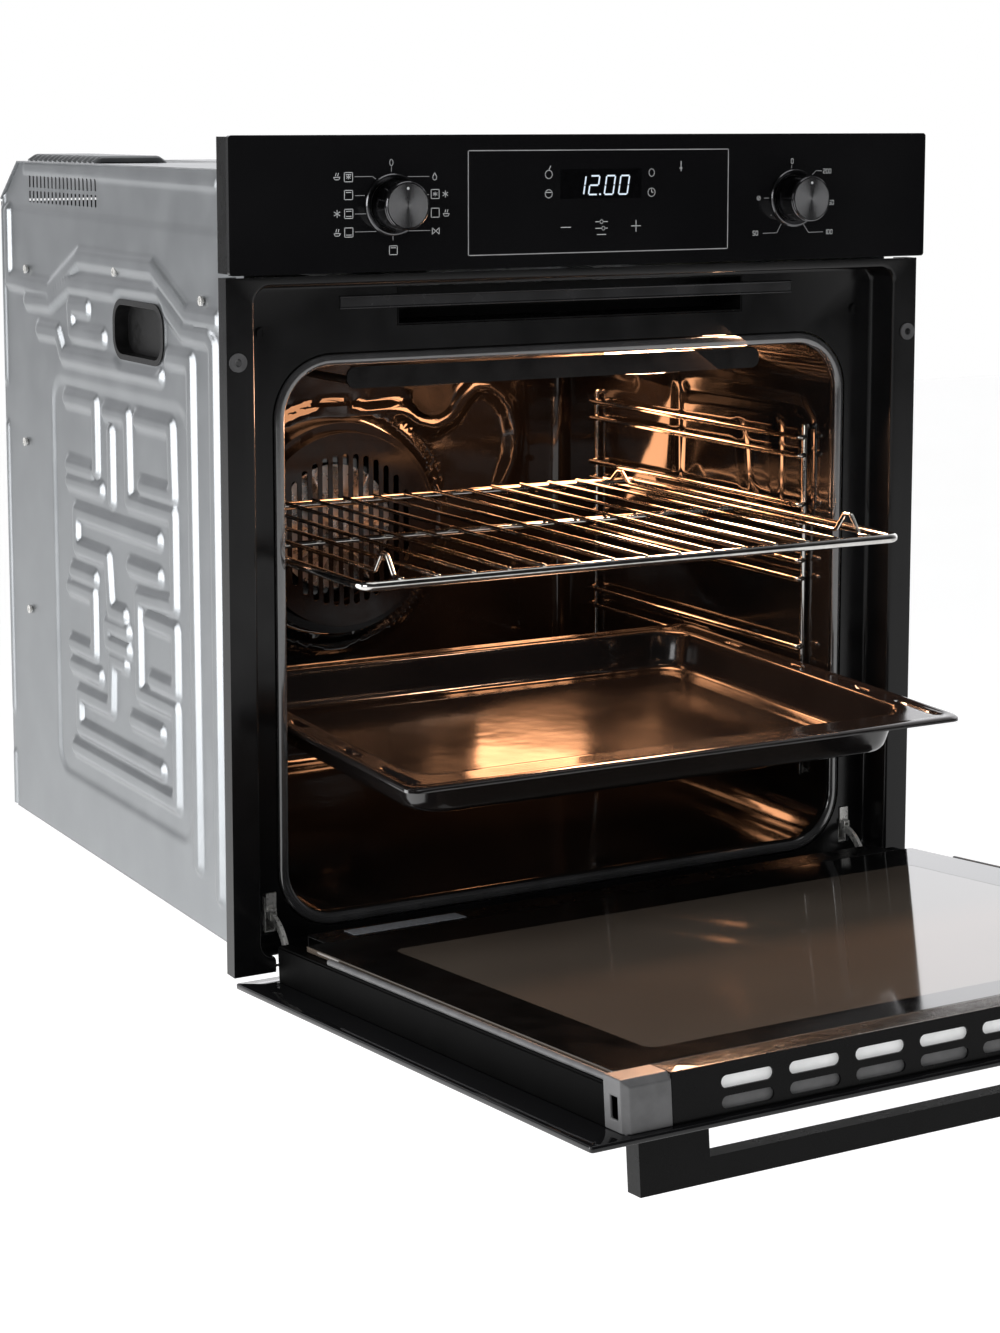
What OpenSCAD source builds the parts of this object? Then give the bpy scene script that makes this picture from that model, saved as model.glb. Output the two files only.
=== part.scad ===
// Built-in wall oven for a 60 cm niche, with a drop-down door, wire shelf and baking tray.
// X runs to the right seen from the front, Y to the back, Z up. The origin is the middle of
// the casing's underside. Everything on the door is drawn shut and then swung open.

/* [Casing] */
// Width of the casing that slides into the niche
casing_w = 558; // [556:1:562]
// Height of the casing
casing_h = 565; // [563:1:568]
// Depth of the casing behind the cabinet's front edge
casing_d = 516; // [514:1:530]
// Thickness of the sheet steel
sheet = 1.2; // [1:0.1:1.4]

/* [Front] */
// Width of the control panel and of the door's outer glass
front_w = 595; // [592:1:596]
// Height of the control panel
panel_h = 96; // [94:1:98]
// Distance from the cabinet's front edge to the front of the glass
front_proud = 21; // [21:1:22]
// Thickness of the glass plates
glass_t = 4; // [3:0.5:4]

/* [Cavity] */
// Inside width of the cavity
cavity_w = 480; // [478:1:481]
// Height of the cavity's floor above the underside
cavity_floor = 22; // [21:1:23]
// Height of the cavity's roof above the underside
cavity_roof = 424; // [423:1:426]
// Corner radius of the cavity's mouth
mouth_r = 45; // [40:1:48]
// Diameter of the rack wires
rack_wire = 4.6; // [4:0.2:4.8]

/* [Door] */
// How far the door stands open, from shut
open_angle = 84.6; // [0:0.2:88]
// Thickness of the door behind the outer glass
door_box_t = 30.5; // [28:0.5:30.5]
// Width of the handle
handle_w = 500; // [460:10:520]
// Clear space for the fingers behind the handle
finger_gap = 26; // [24:1:32]

/* [Shelf, tray and knobs] */
// How far the wire shelf stands out of its shut place
shelf_out = 107; // [0:1:110]
// How far the baking tray stands out of its shut place
tray_out = 190; // [0:1:195]
// Diameter of the wire shelf's outer frame
shelf_frame_d = 7; // [5:0.5:7]
// Number of rods between the shelf's side frames
shelf_rods = 15; // [9:2:19]
// Diameter of the knobs
knob_d = 34.5; // [32:0.5:34.5]
// How far the knobs stand in front of the glass
knob_proud = 24; // [20:1:24]

/* [Hidden] */
$fn = 48;

// Planes that the pieces share
cab_y = -casing_d / 2;              // front edge of the cabinet
rear_y = casing_d / 2;
front_y = cab_y - front_proud;      // front of the glass
glass_back_y = front_y + glass_t;
frame_y = glass_back_y + 4;         // front of the sheet frame
recess_y = frame_y + 30;            // plane of the recess round the mouth
frame_bottom = -6;
panel_top = frame_bottom + front_w;
panel_bottom = panel_top - panel_h;
half_front = front_w / 2;
half_casing = casing_w / 2;
frame_top = panel_bottom - 2;
recess_x = 275.2;
recess_bottom = 4;
recess_top = 484;
half_cavity = cavity_w / 2;
lip_w = 9.5;
back_wall_y = 188;
fan_z = 238;
heater_r = 78;
heater_leg = [8, 77.6];             // where the ring heater's two legs pass the back wall
grill_z = 405;
blower_y = 120;
blower_z = 452;
duct_half = 150;
duct_h = 28;
// Door
hinge_y = -271.8;
hinge_z = -5.5;
hinge_x = 255.5;
door_bottom = -4;
door_top = panel_bottom - 3;
door_half = 271.5;
box_bottom = 14;
box_top = 484 - 2.5;
inner_y = glass_back_y + door_box_t;
trim_h = 22;
glass_low = 46;
arm_r = 32.5;
arm_band = 2.9;
pin_r = 1.7;
// Racks, shelf and tray
rack_x = 229;                       // the wires that carry shelf and tray
post_wire_x = 236.5;                // the upright wires, outboard of the tray's rim
rack_front_y = -208;
rack_rear_y = 117;
pair_gap = 15;
rack_levels = [95, 158, 229, 275, 330];
shelf_z = rack_levels[3] + rack_wire / 2 + 0.4 + shelf_frame_d / 2;
shelf_half = 231.5;
shelf_front_y = -236.5 - shelf_out;
shelf_back_y = 148.5 - shelf_out;
tray_tilt = 1.5;
tray_half = 233.4;
tray_depth = 377;
tray_sheet = 1.2;
// Knobs
knob_x = 172;
knob_z = 540;
spindle_r = 3;
knob_travel = 18;

// Helpers: outlines in XZ pushed along Y, outlines in YZ pushed along X, and plain blocks
module block(x0, x1, y0, y1, z0, z1) translate([x0, y0, z0]) cube([x1 - x0, y1 - y0, z1 - z0]);
module along_y(y0, y1) translate([0, y1, 0]) rotate([90, 0, 0]) linear_extrude(y1 - y0) children();
module along_x(x0, x1) translate([x0, 0, 0]) rotate([90, 0, 90]) linear_extrude(x1 - x0) children();
module rod_x(x0, x1, r) translate([x0, 0, 0]) rotate([0, 90, 0]) cylinder(h = x1 - x0, r = r);
module rod_y(y0, y1, r) translate([0, y1, 0]) rotate([90, 0, 0]) cylinder(h = y1 - y0, r = r);
module pair() {
    children();
    mirror([1, 0, 0]) children();
}
module round_rect(x0, x1, z0, z1, r) {
    translate([x0 + r, z0]) square([x1 - x0 - 2 * r, z1 - z0]);
    translate([x0, z0 + r]) square([x1 - x0, z1 - z0 - 2 * r]);
    for (x = [x0 + r, x1 - r], z = [z0 + r, z1 - r]) translate([x, z]) circle(r);
}
module slot_2d(x, z, len, w) {
    translate([x - len / 2 + w / 2, z - w / 2]) square([len - w, w]);
    for (s = [-1, 1]) translate([x + s * (len - w) / 2, z]) circle(w / 2);
}
// A bent band of constant height along points that run in one direction
module band_2d(points, w) polygon(concat(
    [for (p = points) [p[0], p[1] + w / 2]],
    [for (i = [len(points) - 1 : -1 : 0]) [points[i][0], points[i][1] - w / 2]]
));
module on_door() {
    translate([0, hinge_y, hinge_z]) rotate([open_angle, 0, 0])
        translate([0, -hinge_y, -hinge_z]) children();
}

// ---- Front frame: one pressed sheet with a recess round the cavity's mouth ----
module frame_hole(grow = 0) {
    round_rect(-recess_x - grow, recess_x + grow, recess_bottom - grow, recess_top + grow, 12 + grow);
}
module mouth_outline(grow) {
    round_rect(-half_cavity - grow, half_cavity + grow, cavity_floor - grow, cavity_roof + grow,
               mouth_r + grow - 8);
}
bush_x = 288.75;
bush_z = 432.7;
bush_r = 4.5;
frame_screw_x = 258;
frame_screw_z = 450;
module front_frame() color([0.16, 0.16, 0.17]) {
    half = half_front - 0.5;
    difference() {
        union() {
            along_y(frame_y, frame_y + sheet) difference() {
                translate([-half, frame_bottom]) square([2 * half, frame_top - frame_bottom]);
                frame_hole();
            }
            along_y(frame_y, recess_y) difference() {
                frame_hole(sheet);
                frame_hole();
            }
            along_y(recess_y - sheet, recess_y) difference() {
                frame_hole(sheet);
                mouth_outline(lip_w + 0.5);
                translate([-duct_half - 0.4, blower_z - 0.4]) square([2 * duct_half + 0.8, duct_h + 0.8]);
            }
            for (s = [-1, 1]) {
                x0 = s > 0 ? half - sheet : -half;
                block(x0, x0 + sheet, frame_y, cab_y, frame_bottom, frame_top);
                lip0 = s > 0 ? half - 13 : -half;
                block(lip0, lip0 + 13, cab_y - sheet, cab_y, frame_bottom, frame_top);
            }
            block(-half, half, frame_y, cab_y, frame_bottom, frame_bottom + sheet);
        }
        pair() block(hinge_x - 9, hinge_x + 9, frame_y - 1, frame_y + 11, frame_bottom - 1, 6);
        pair() block(hinge_x - 4.5, hinge_x + 6.5, recess_y - 3, recess_y + 1, 13, 44);
        for (s = [-1, 1]) translate([s * bush_x, 0, bush_z]) rod_y(frame_y - 1, cab_y + 1, bush_r);
        for (s = [-1, 1])
            translate([s * frame_screw_x, 0, frame_screw_z]) rod_y(recess_y - 3, recess_y + 1, 2.05);
    }
}
module mounting_bushes() color([0.3, 0.3, 0.31])
    for (s = [-1, 1]) translate([s * bush_x, 0, bush_z]) difference() {
        union() {
            rod_y(frame_y - 1.5, frame_y - 0.02, 6.6);
            rod_y(frame_y - 1, cab_y, bush_r - 0.05);
        }
        rod_y(frame_y - 3, cab_y + 1, 2.75);
    }
module frame_screws() color([0.3, 0.3, 0.3])
    for (s = [-1, 1]) translate([s * frame_screw_x, 0, frame_screw_z]) difference() {
        union() {
            rod_y(recess_y - sheet - 2.2, recess_y - sheet - 0.02, 4.2);
            rod_y(recess_y - sheet - 1, recess_y + 8, 1.9);
        }
        translate([0, recess_y - sheet - 2.3, 0]) {
            block(-2.6, 2.6, -1, 0.9, -0.5, 0.5);
            block(-0.5, 0.5, -1, 0.9, -2.6, 2.6);
        }
    }

// ---- Cavity: enamelled box with a lip, a fan hole and a lamp hole ----
lamp_x = 100;
lamp_z = 353;
liner_front_y = recess_y + 1.4;
module cavity_liner() color([0.09, 0.08, 0.08]) {
    difference() {
        union() {
            along_y(liner_front_y, back_wall_y + sheet) mouth_outline(sheet);
            along_y(liner_front_y, liner_front_y + sheet) mouth_outline(lip_w);
        }
        along_y(liner_front_y - 1, back_wall_y) mouth_outline(0);
        translate([0, 0, fan_z]) rod_y(back_wall_y - 1, back_wall_y + 3, 11);
        translate([lamp_x, 0, lamp_z]) rod_y(back_wall_y - 1, back_wall_y + 3, 17);
        for (x = [-150, -50, 50, 150]) translate([x, 0, grill_z]) rod_y(back_wall_y - 1, back_wall_y + 3, 4);
        for (s = [-1, 1]) translate([s * heater_leg[0], 0, fan_z - heater_leg[1]])
            rod_y(back_wall_y - 1, back_wall_y + 3, 3.6);
    }
    // pressed panels on the two side walls, behind the upper rack wires
    pair() along_x(half_cavity - 1, half_cavity + 0.2) difference() {
        round_rect(-234, -12, 281, 366, 16);
        round_rect(-224, -22, 291, 356, 10);
    }
}
module gasket_ring() difference() {
    mouth_outline(lip_w - 0.6);
    mouth_outline(0.6);
}
gasket_front_y = recess_y - 2.8;
module door_gasket() color([0.17, 0.17, 0.17]) {
    along_y(gasket_front_y + 1.2, liner_front_y - 0.02) gasket_ring();
    along_y(gasket_front_y, gasket_front_y + 1.4) difference() {
        mouth_outline(lip_w - 2.2);
        mouth_outline(2.2);
    }
}
module gasket_clips() color([0.75, 0.75, 0.75])
    for (x = [-1, 1], z = [0, 1])
        translate([x * (half_cavity + 7.2 - 22), 0, z > 0 ? cavity_roof + 11.2 - 22 : cavity_floor - 11.2 + 22])
            rotate([0, x > 0 ? (z > 0 ? -45 : 45) : (z > 0 ? -135 : 135), 0])
                block(19.5, 23.5, liner_front_y + sheet + 0.1, liner_front_y + sheet + 4, -1, 1);

// ---- Casing ----
panel_low = 3;
module panel_outline() polygon([
    [cab_y + 2, panel_low], [rear_y - 1.4, panel_low], [rear_y - 1.4, 530.2],
    [rear_y - 46, casing_h - sheet - 0.2], [cab_y + 2, casing_h - sheet - 0.2]
]);
grip_y = -58;
grip_z = 439;
grip_w = 98;
grip_h = 42;
rib_w = 14;
// Stepped ribs under the louvres, as lines of (y, z) points
steps = [
    [[236, 460], [136, 460], [80, 494], [-91, 494], [-150, 459], [-207, 459]],
    [[200, 440], [144, 440], [89, 471], [-95, 471], [-152, 440], [-203, 440]],
];
// The channel pattern inside the big rounded frame, as bars [low y, high y, low z, high z]
bars = [
    [75, 89, 285, 368], [82, 122, 354, 368], [38, 52, 150, 352], [45, 70, 338, 352],
    [3, 17, 136, 246], [10, 52, 132, 146], [10, 52, 232, 246], [54, 68, 262, 330],
    [-19, -5, 262, 340], [22, 36, 270, 346], [-12, 29, 326, 340], [-12, 29, 258, 272],
    [-19, -5, 136, 206], [-12, 0, 192, 206], [96, 124, 308, 322],
    [75, 89, 200, 262], [82, 122, 248, 262], [82, 122, 200, 214],
    [75, 89, 96, 152], [82, 122, 138, 152], [82, 122, 96, 110], [-19, 62, 86, 100],
];
rib_out = 1.1;
screw_spots = [[193, 475], [-12, 482.5], [-183, 470], [203, 328], [201, 184]];
module side_panel() {
    difference() {
        union() {
            along_x(-half_casing + rib_out, -half_casing + rib_out + sheet) panel_outline();
            along_x(-half_casing, -half_casing + rib_out + 0.2) {
                for (b = bars) round_rect(b[0], b[1], b[2], b[3], 4);
                for (s = steps) band_2d(s, rib_w);
                translate([-203, 32]) square([rib_w, 402]);
                difference() {
                    round_rect(-131, 146, 60, 389, 26);
                    round_rect(-117, 132, 74, 375, 16);
                }
            }
        }
        along_x(-half_casing - 1, -half_casing + 6)
            round_rect(grip_y - grip_w / 2, grip_y + grip_w / 2, grip_z - grip_h / 2, grip_z + grip_h / 2, 16);
        for (y = [34 : 9 : 187], z = [535, 547])
            along_x(-half_casing - 1, -half_casing + 6) translate([y, z]) square([3, 9], center = true);
        for (p = screw_spots)
            translate([0, p[0], p[1]]) rod_x(-half_casing - 1, -half_casing + 6, 2.05);
    }
    // front and rear return flanges
    block(-half_casing + rib_out, -half_casing + 14, recess_y + 0.6, recess_y + 0.6 + sheet, panel_low, casing_h - 2);
    block(-half_casing + rib_out, -half_casing + 12, rear_y - 1.4 - sheet, rear_y - 1.4, panel_low, 530);
}
module left_side_panel() color([0.62, 0.63, 0.65]) side_panel();
module right_side_panel() color([0.62, 0.63, 0.65]) mirror([1, 0, 0]) side_panel();
module grip_cups() color([0.06, 0.06, 0.06]) pair() {
    x0 = -half_casing + rib_out;
    difference() {
        union() {
            along_x(x0 - 0.8, x0 - 0.05) round_rect(grip_y - grip_w / 2 - 2.5, grip_y + grip_w / 2 + 2.5,
                                           grip_z - grip_h / 2 - 2.5, grip_z + grip_h / 2 + 2.5, 18);
            along_x(x0 - 0.8, x0 + 12.5) round_rect(grip_y - grip_w / 2 + 0.3, grip_y + grip_w / 2 - 0.3,
                                        grip_z - grip_h / 2 + 0.3, grip_z + grip_h / 2 - 0.3, 15.7);
        }
        along_x(x0 - 2, x0 + 11) round_rect(grip_y - grip_w / 2 + 2, grip_y + grip_w / 2 - 2,
                                            grip_z - grip_h / 2 + 2, grip_z + grip_h / 2 - 2, 14);
    }
}
module casing_screws() color([0.8, 0.8, 0.8]) pair() for (p = screw_spots)
    translate([0, p[0], p[1]]) difference() {
        union() {
            rod_x(-half_casing - 0.6, -half_casing + rib_out - 0.02, 3.6);
            rod_x(-half_casing + 0.5, -half_casing + 9, 1.9);
        }
        block(-half_casing - 1, -half_casing + 0.1, -2.2, 2.2, -0.4, 0.4);
        block(-half_casing - 1, -half_casing + 0.1, -0.4, 0.4, -2.2, 2.2);
    }
module base_pan() color([0.45, 0.46, 0.47]) difference() {
    half = half_casing - 4;
    y0 = recess_y + 2;
    block(-half, half, y0, rear_y - 4, 0, 8);
    block(-half + sheet, half - sheet, y0 + sheet, rear_y - 4 - sheet, sheet, 9);
    for (x = [-180 : 40 : 180], y = [-150, 150])
        translate([0, y, 0]) linear_extrude(5, center = true) slot_2d(x, 0, 26, 5);
}
module top_panel() color([0.72, 0.73, 0.75]) {
    half = half_casing - rib_out;
    difference() {
        block(-half, half, cab_y + 4, rear_y - 46, casing_h - sheet, casing_h);
        for (y = [60 : 12 : 190]) linear_extrude(casing_h + 5) slot_2d(-200, y, 110, 5);
        for (y = [60 : 12 : 190]) linear_extrude(casing_h + 5) slot_2d(200, y, 110, 5);
    }
    // sloping rear edge, and the raised cover of the air duct behind the control panel
    along_x(-half, half) polygon([
        [rear_y - 46, casing_h], [rear_y - 46, casing_h - sheet], [rear_y - 3, 532], [rear_y - 2, 533]
    ]);
    difference() {
        block(-190, 190, cab_y + 4, cab_y + 70, casing_h - 0.5, casing_h + 12);
        block(-188.8, 188.8, cab_y + 3, cab_y + 68.8, casing_h - 1, casing_h + 10.8);
    }
}
module rear_panel() color([0.6, 0.61, 0.63]) difference() {
    half = half_casing - rib_out - sheet - 0.2;
    block(-half, half, rear_y - 1.2, rear_y, 9, 530);
    for (x = [-160 : 40 : 160], z = [150 : 14 : 330]) along_y(rear_y - 3, rear_y + 1) slot_2d(x, z, 30, 5);
    along_y(rear_y - 3, rear_y + 1) round_rect(-225, -155, 440, 500, 4);
}
module insulation_blanket() color([0.82, 0.8, 0.7]) difference() {
    block(-264, 264, -226, 212, 24, 450);
    block(-half_cavity - 2.5, half_cavity + 2.5, -230, back_wall_y + 2.5, 20, cavity_roof + 2.5);
    translate([0, 0, fan_z]) rod_y(180, 220, 40);
    translate([lamp_x, 0, lamp_z]) rod_y(180, 220, 22);
    for (x = [-150, -50, 50, 150]) translate([x, 0, grill_z]) rod_y(180, 220, 5);
    for (s = [-1, 1]) translate([s * heater_leg[0], 0, fan_z - heater_leg[1]]) rod_y(180, 220, 5);
    // room for the hinge receivers
    pair() block(hinge_x - 7, 265, -227, recess_y + receiver_d + 4, 23, receiver_top + 4);
}

// ---- Control panel ----
module control_panel_glass() color([0.02, 0.02, 0.02]) difference() {
    along_y(front_y, glass_back_y) round_rect(-half_front, half_front, panel_bottom, panel_top, 2.5);
    for (s = [-1, 1]) translate([s * knob_x, 0, knob_z]) rod_y(front_y - 1, glass_back_y + 1, 19);
}
module control_panel_bracket() color([0.1, 0.1, 0.1]) difference() {
    half = half_front - 1;
    y0 = glass_back_y + 0.1;
    block(-half, half, y0, cab_y + 1.5, panel_bottom + 1, panel_top - 1);
    block(-half + sheet, half - sheet, y0 + sheet, cab_y + 4, panel_bottom + 1 + sheet, panel_top - 1 - sheet);
    for (s = [-1, 1]) translate([s * knob_x, 0, knob_z]) rod_y(y0 - 1, y0 + 3, 19.3);
    along_y(y0 - 1, y0 + 3) round_rect(-60, 60, 516, 572, 3);
    for (x = [-140 : 40 : 140]) translate([0, cab_y - 6, 0]) linear_extrude(panel_bottom + 10) slot_2d(x, 0, 30, 5);
}
module display_module() color([0.05, 0.05, 0.05]) {
    along_y(glass_back_y + 0.1, cab_y + 3) round_rect(-58, 58, 518, 570, 2);
}
ring_hole_r = knob_d / 2 + 0.35;
module knob_rings() color([0.12, 0.12, 0.12]) for (s = [-1, 1]) translate([s * knob_x, 0, knob_z])
    difference() {
        union() {
            rod_y(front_y - 2.6, front_y - 0.02, 22);
            rod_y(front_y - 1, cab_y - 1, 18.8);
        }
        rod_y(front_y - 4, cab_y - 3, ring_hole_r);
        rod_y(front_y - 4, cab_y + 2, spindle_r + 0.5);
    }
module dial_switch(depth, size) difference() {
    union() {
        along_y(cab_y + 0.5, cab_y + depth) round_rect(-size, size, -size, size, 4);
        along_y(cab_y + depth - 1, cab_y + depth + 7) for (x = [-12, 0, 12]) translate([x - 2, -8]) square([4, 16]);
    }
    rod_y(cab_y - 2, cab_y + 12, spindle_r + 0.05);
}
module function_switch() color([0.85, 0.85, 0.8]) translate([-knob_x, 0, knob_z]) dial_switch(40, 21);
module thermostat() color([0.7, 0.7, 0.68]) translate([knob_x, 0, knob_z]) dial_switch(26, 17);
module spindle() {
    rod_y(front_y - 3, cab_y + 10, spindle_r);
}
module function_spindle() color([0.7, 0.7, 0.72]) translate([-knob_x, 0, knob_z]) spindle();
module temperature_spindle() color([0.7, 0.7, 0.72]) translate([knob_x, 0, knob_z]) spindle();
module knob() difference() {
    union() {
        rod_y(front_y - knob_proud + 1.2, front_y - 0.1, knob_d / 2);
        rod_y(front_y - knob_proud, front_y - knob_proud + 1.3, knob_d / 2 - 1.2);
    }
    rod_y(front_y - knob_travel - 4, front_y + 1, spindle_r + 0.05);
    rod_y(front_y - knob_proud + 6, front_y + 1, knob_d / 2 - 1.6);
}
module knob_core() difference() {
    rod_y(front_y - knob_travel - 5, front_y - 0.1, 6);
    rod_y(front_y - knob_travel - 4, front_y + 1, spindle_r + 0.05);
}
module whole_knob() {
    knob();
    knob_core();
    translate([0, 0, knob_d / 2 - 5]) rod_y(front_y - knob_proud - 0.3, front_y - knob_proud + 0.4, 0.8);
}
module function_knob() color([0.25, 0.25, 0.26]) translate([-knob_x, 0, knob_z]) whole_knob();
module temperature_knob() color([0.25, 0.25, 0.26]) translate([knob_x, 0, knob_z]) whole_knob();

// ---- Fan, heaters and lamp ----
cover_r = 95;
cover_y = 155;
module fan_cover() color([0.14, 0.13, 0.12]) translate([0, 0, fan_z]) difference() {
    union() {
        rod_y(cover_y, cover_y + 12, cover_r - 8);
        rod_y(cover_y + 10, back_wall_y - 0.1, cover_r);
    }
    rod_y(cover_y + sheet, cover_y + 13, cover_r - 8 - sheet);
    rod_y(cover_y + 10 + sheet, back_wall_y + 1, cover_r - sheet);
    for (x = [-60 : 10 : 60]) {
        reach = sqrt(68 * 68 - x * x);
        along_y(cover_y - 1, cover_y + 2) rotate(90) slot_2d(0, -x, 2 * reach, 5.5);
    }
}
module ring_heater() color([0.2, 0.18, 0.17]) {
    translate([0, back_wall_y - 16, fan_z]) rotate([90, 0, 0]) rotate_extrude() translate([heater_r, 0]) circle(3.2);
    for (s = [-1, 1]) translate([s * heater_leg[0], 0, fan_z - heater_leg[1]])
        rod_y(back_wall_y - 16, back_wall_y + 26, 3);
}
module fan_motor() color([0.55, 0.56, 0.58]) translate([0, 0, fan_z]) difference() {
    union() {
        rod_y(back_wall_y + 4, back_wall_y + 8, 36);
        rod_y(back_wall_y + 7, rear_y - 14, 28);
        along_y(back_wall_y + 22, back_wall_y + 42) translate([-33, -12]) square([66, 24]);
    }
    rod_y(back_wall_y + 3, back_wall_y + 30, 4.05);
}
module convection_impeller() color([0.5, 0.5, 0.5]) translate([0, 0, fan_z]) {
    blades = 12;
    rod_y(back_wall_y - 12, back_wall_y + 28, 4);
    rod_y(back_wall_y - 8, back_wall_y - 6.5, 56);
    rod_y(back_wall_y - 20, back_wall_y - 7, 9);
    for (i = [0 : blades - 1]) rotate([0, i * 360 / blades, 0])
        block(28, 54, back_wall_y - 24, back_wall_y - 7, -0.8, 0.8);
}
module grill_element() color([0.25, 0.22, 0.2]) {
    r = 3.2;
    for (x = [-150, -50, 50, 150]) translate([x, 0, grill_z]) rod_y(-150, back_wall_y + 20, r);
    for (x = [-100, 100]) translate([x, -150, grill_z]) rotate_half_bend(50, r);
}
// Half a turn of heater tube that joins two straight legs at their front ends
module rotate_half_bend(bend_r, r) intersection() {
    rotate_extrude() translate([bend_r, 0]) circle(r);
    translate([-bend_r - r - 1, -bend_r - r - 1, -r - 1]) cube([2 * (bend_r + r + 1), bend_r + r + 1, 2 * r + 2]);
}
module grill_deflector() color([0.08, 0.08, 0.08]) {
    along_y(-222, -220) round_rect(-181, 181, 405, 421, 7);
    block(-170, 170, -221, -205, 419.4, 420.6);
}
module bottom_element() color([0.25, 0.22, 0.2]) {
    z = 14;
    r = 3.2;
    for (x = [-120, 120]) translate([x, 0, z]) rod_y(-100, rear_y - 20, r);
    translate([0, -100, z]) rotate_half_bend(120, r);
}
module lamp_holder() color([0.8, 0.8, 0.78]) translate([lamp_x, 0, lamp_z]) difference() {
    union() {
        rod_y(back_wall_y + sheet + 0.05, back_wall_y + 4, 20);
        rod_y(back_wall_y + 3, back_wall_y + 40, 16);
    }
    rod_y(back_wall_y - 1, back_wall_y + 36, 13);
}
module lamp_bulb() color([1, 0.85, 0.6]) translate([lamp_x, 0, lamp_z]) {
    translate([0, back_wall_y + 14, 0]) sphere(9);
    rod_y(back_wall_y + 18, back_wall_y + 35.9, 6);
}
module lamp_lens() color([0.3, 0.28, 0.26]) translate([lamp_x, 0, lamp_z]) difference() {
    union() {
        rod_y(back_wall_y - 9, back_wall_y - 0.1, 20.5);
        rod_y(back_wall_y - 2, back_wall_y + sheet - 0.1, 16.5);
    }
    rod_y(back_wall_y - 6, back_wall_y + 4, 13.5);
}

// ---- Side racks ----
module side_rack() color([0.75, 0.75, 0.76]) {
    r = rack_wire / 2;
    for (y = [rack_front_y, rack_rear_y]) {
        translate([post_wire_x, y, 60]) cylinder(h = 300, r = r);
        for (z = [75, 352]) translate([0, y, z]) rod_x(post_wire_x, half_cavity - 0.1, r);
    }
    for (z = rack_levels, d = [0, pair_gap]) {
        translate([rack_x, 0, z + d]) rod_y(rack_front_y, rack_rear_y, r);
        for (y = [rack_front_y, rack_rear_y]) translate([0, y, z + d]) {
            rod_x(rack_x, post_wire_x, r);
            translate([rack_x, 0, 0]) sphere(r);
        }
    }
}
module left_side_rack() mirror([1, 0, 0]) side_rack();
module right_side_rack() side_rack();

// ---- Cooling: blower on top of the insulation, duct to the slot above the door ----
module cooling_fan_housing() color([0.7, 0.71, 0.72]) difference() {
    union() {
        translate([0, blower_y, blower_z]) cylinder(h = 46, r = 76);
        block(-76, 10, blower_y - 100, blower_y, blower_z, blower_z + 46);
    }
    translate([0, blower_y, blower_z + sheet]) cylinder(h = 46 - 2 * sheet, r = 74.8);
    block(-74.8, 8.8, blower_y - 101, blower_y, blower_z + sheet, blower_z + 46 - sheet);
    translate([0, blower_y, blower_z + 40]) cylinder(h = 10, r = 40);
}
module cooling_impeller() color([0.8, 0.8, 0.8]) translate([0, blower_y, 0]) {
    blades = 20;
    translate([0, 0, blower_z + 4]) cylinder(h = 1.5, r = 62);
    translate([0, 0, blower_z + 5]) cylinder(h = 62, r = 4);
    translate([0, 0, blower_z + 5]) cylinder(h = 14, r = 10);
    for (i = [0 : blades - 1]) rotate([0, 0, i * 360 / blades])
        block(48, 61, -0.6, 0.6, blower_z + 5, blower_z + 38);
}
module cooling_fan_motor() color([0.4, 0.4, 0.42]) translate([0, blower_y, 0]) difference() {
    union() {
        translate([0, 0, blower_z + 50]) cylinder(h = 34, r = 27);
        block(-62, 62, -8, 8, blower_z + 46.1, blower_z + 51);
    }
    translate([0, 0, blower_z + 45]) cylinder(h = 28, r = 4.05);
}
module air_duct() color([0.66, 0.67, 0.69]) difference() {
    block(-duct_half, duct_half, recess_y - sheet, blower_y - 101, blower_z, blower_z + duct_h);
    block(-duct_half + sheet, duct_half - sheet, recess_y - 3, blower_y - 100,
          blower_z + sheet, blower_z + duct_h - sheet);
}
// Mains terminal box with the gland that the lead leaves by
module terminal_block() color([0.12, 0.12, 0.12]) translate([-190, 0, 470]) difference() {
    union() {
        along_y(rear_y - 24, rear_y - 7) round_rect(-30, 30, -25, 25, 3);
        rod_y(rear_y - 8, rear_y - 0.2, 11);
    }
    rod_y(rear_y - 20, rear_y + 1, 5);
}

// ---- Hinges: receivers and curved arms stay on the oven, channels go with the door ----
receiver_d = 46;
receiver_top = 40;
module hinge_receivers() color([0.7, 0.7, 0.7]) pair() difference() {
    block(hinge_x - 4.2, hinge_x + 4.2, recess_y + 0.1, recess_y + receiver_d, 14, receiver_top);
    block(hinge_x - 3, hinge_x + 3, recess_y - 1, recess_y + receiver_d - sheet, 14 + sheet, receiver_top - sheet);
}
arm_cy = hinge_y + arm_r - 0.05;
module hinge_arms() color([0.72, 0.72, 0.7]) pair() difference() {
    union() {
        along_x(hinge_x - 1.5, hinge_x + 1.5) {
            difference() {
                translate([arm_cy, hinge_z]) circle(arm_r + arm_band);
                translate([arm_cy, hinge_z]) circle(arm_r - arm_band);
                translate([arm_cy, hinge_z - 60]) square([90, 130]);
                translate([arm_cy - 60, hinge_z - 60]) square([90, 60]);
            }
            translate([arm_cy - 0.1, hinge_z + arm_r - arm_band]) square([38, 2 * arm_band]);
            translate([arm_cy + 10, hinge_z + arm_r - 10]) square([6, 10]);
            translate([hinge_y, hinge_z]) circle(2.95);
        }
    }
    translate([0, hinge_y, hinge_z]) rod_x(hinge_x - 5, hinge_x + 5, pin_r + 0.05);
}
module hinge_pins() color([0.8, 0.8, 0.8]) on_door() pair()
    translate([0, hinge_y, hinge_z]) rod_x(hinge_x - 4.6, hinge_x + 4.6, pin_r);
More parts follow.
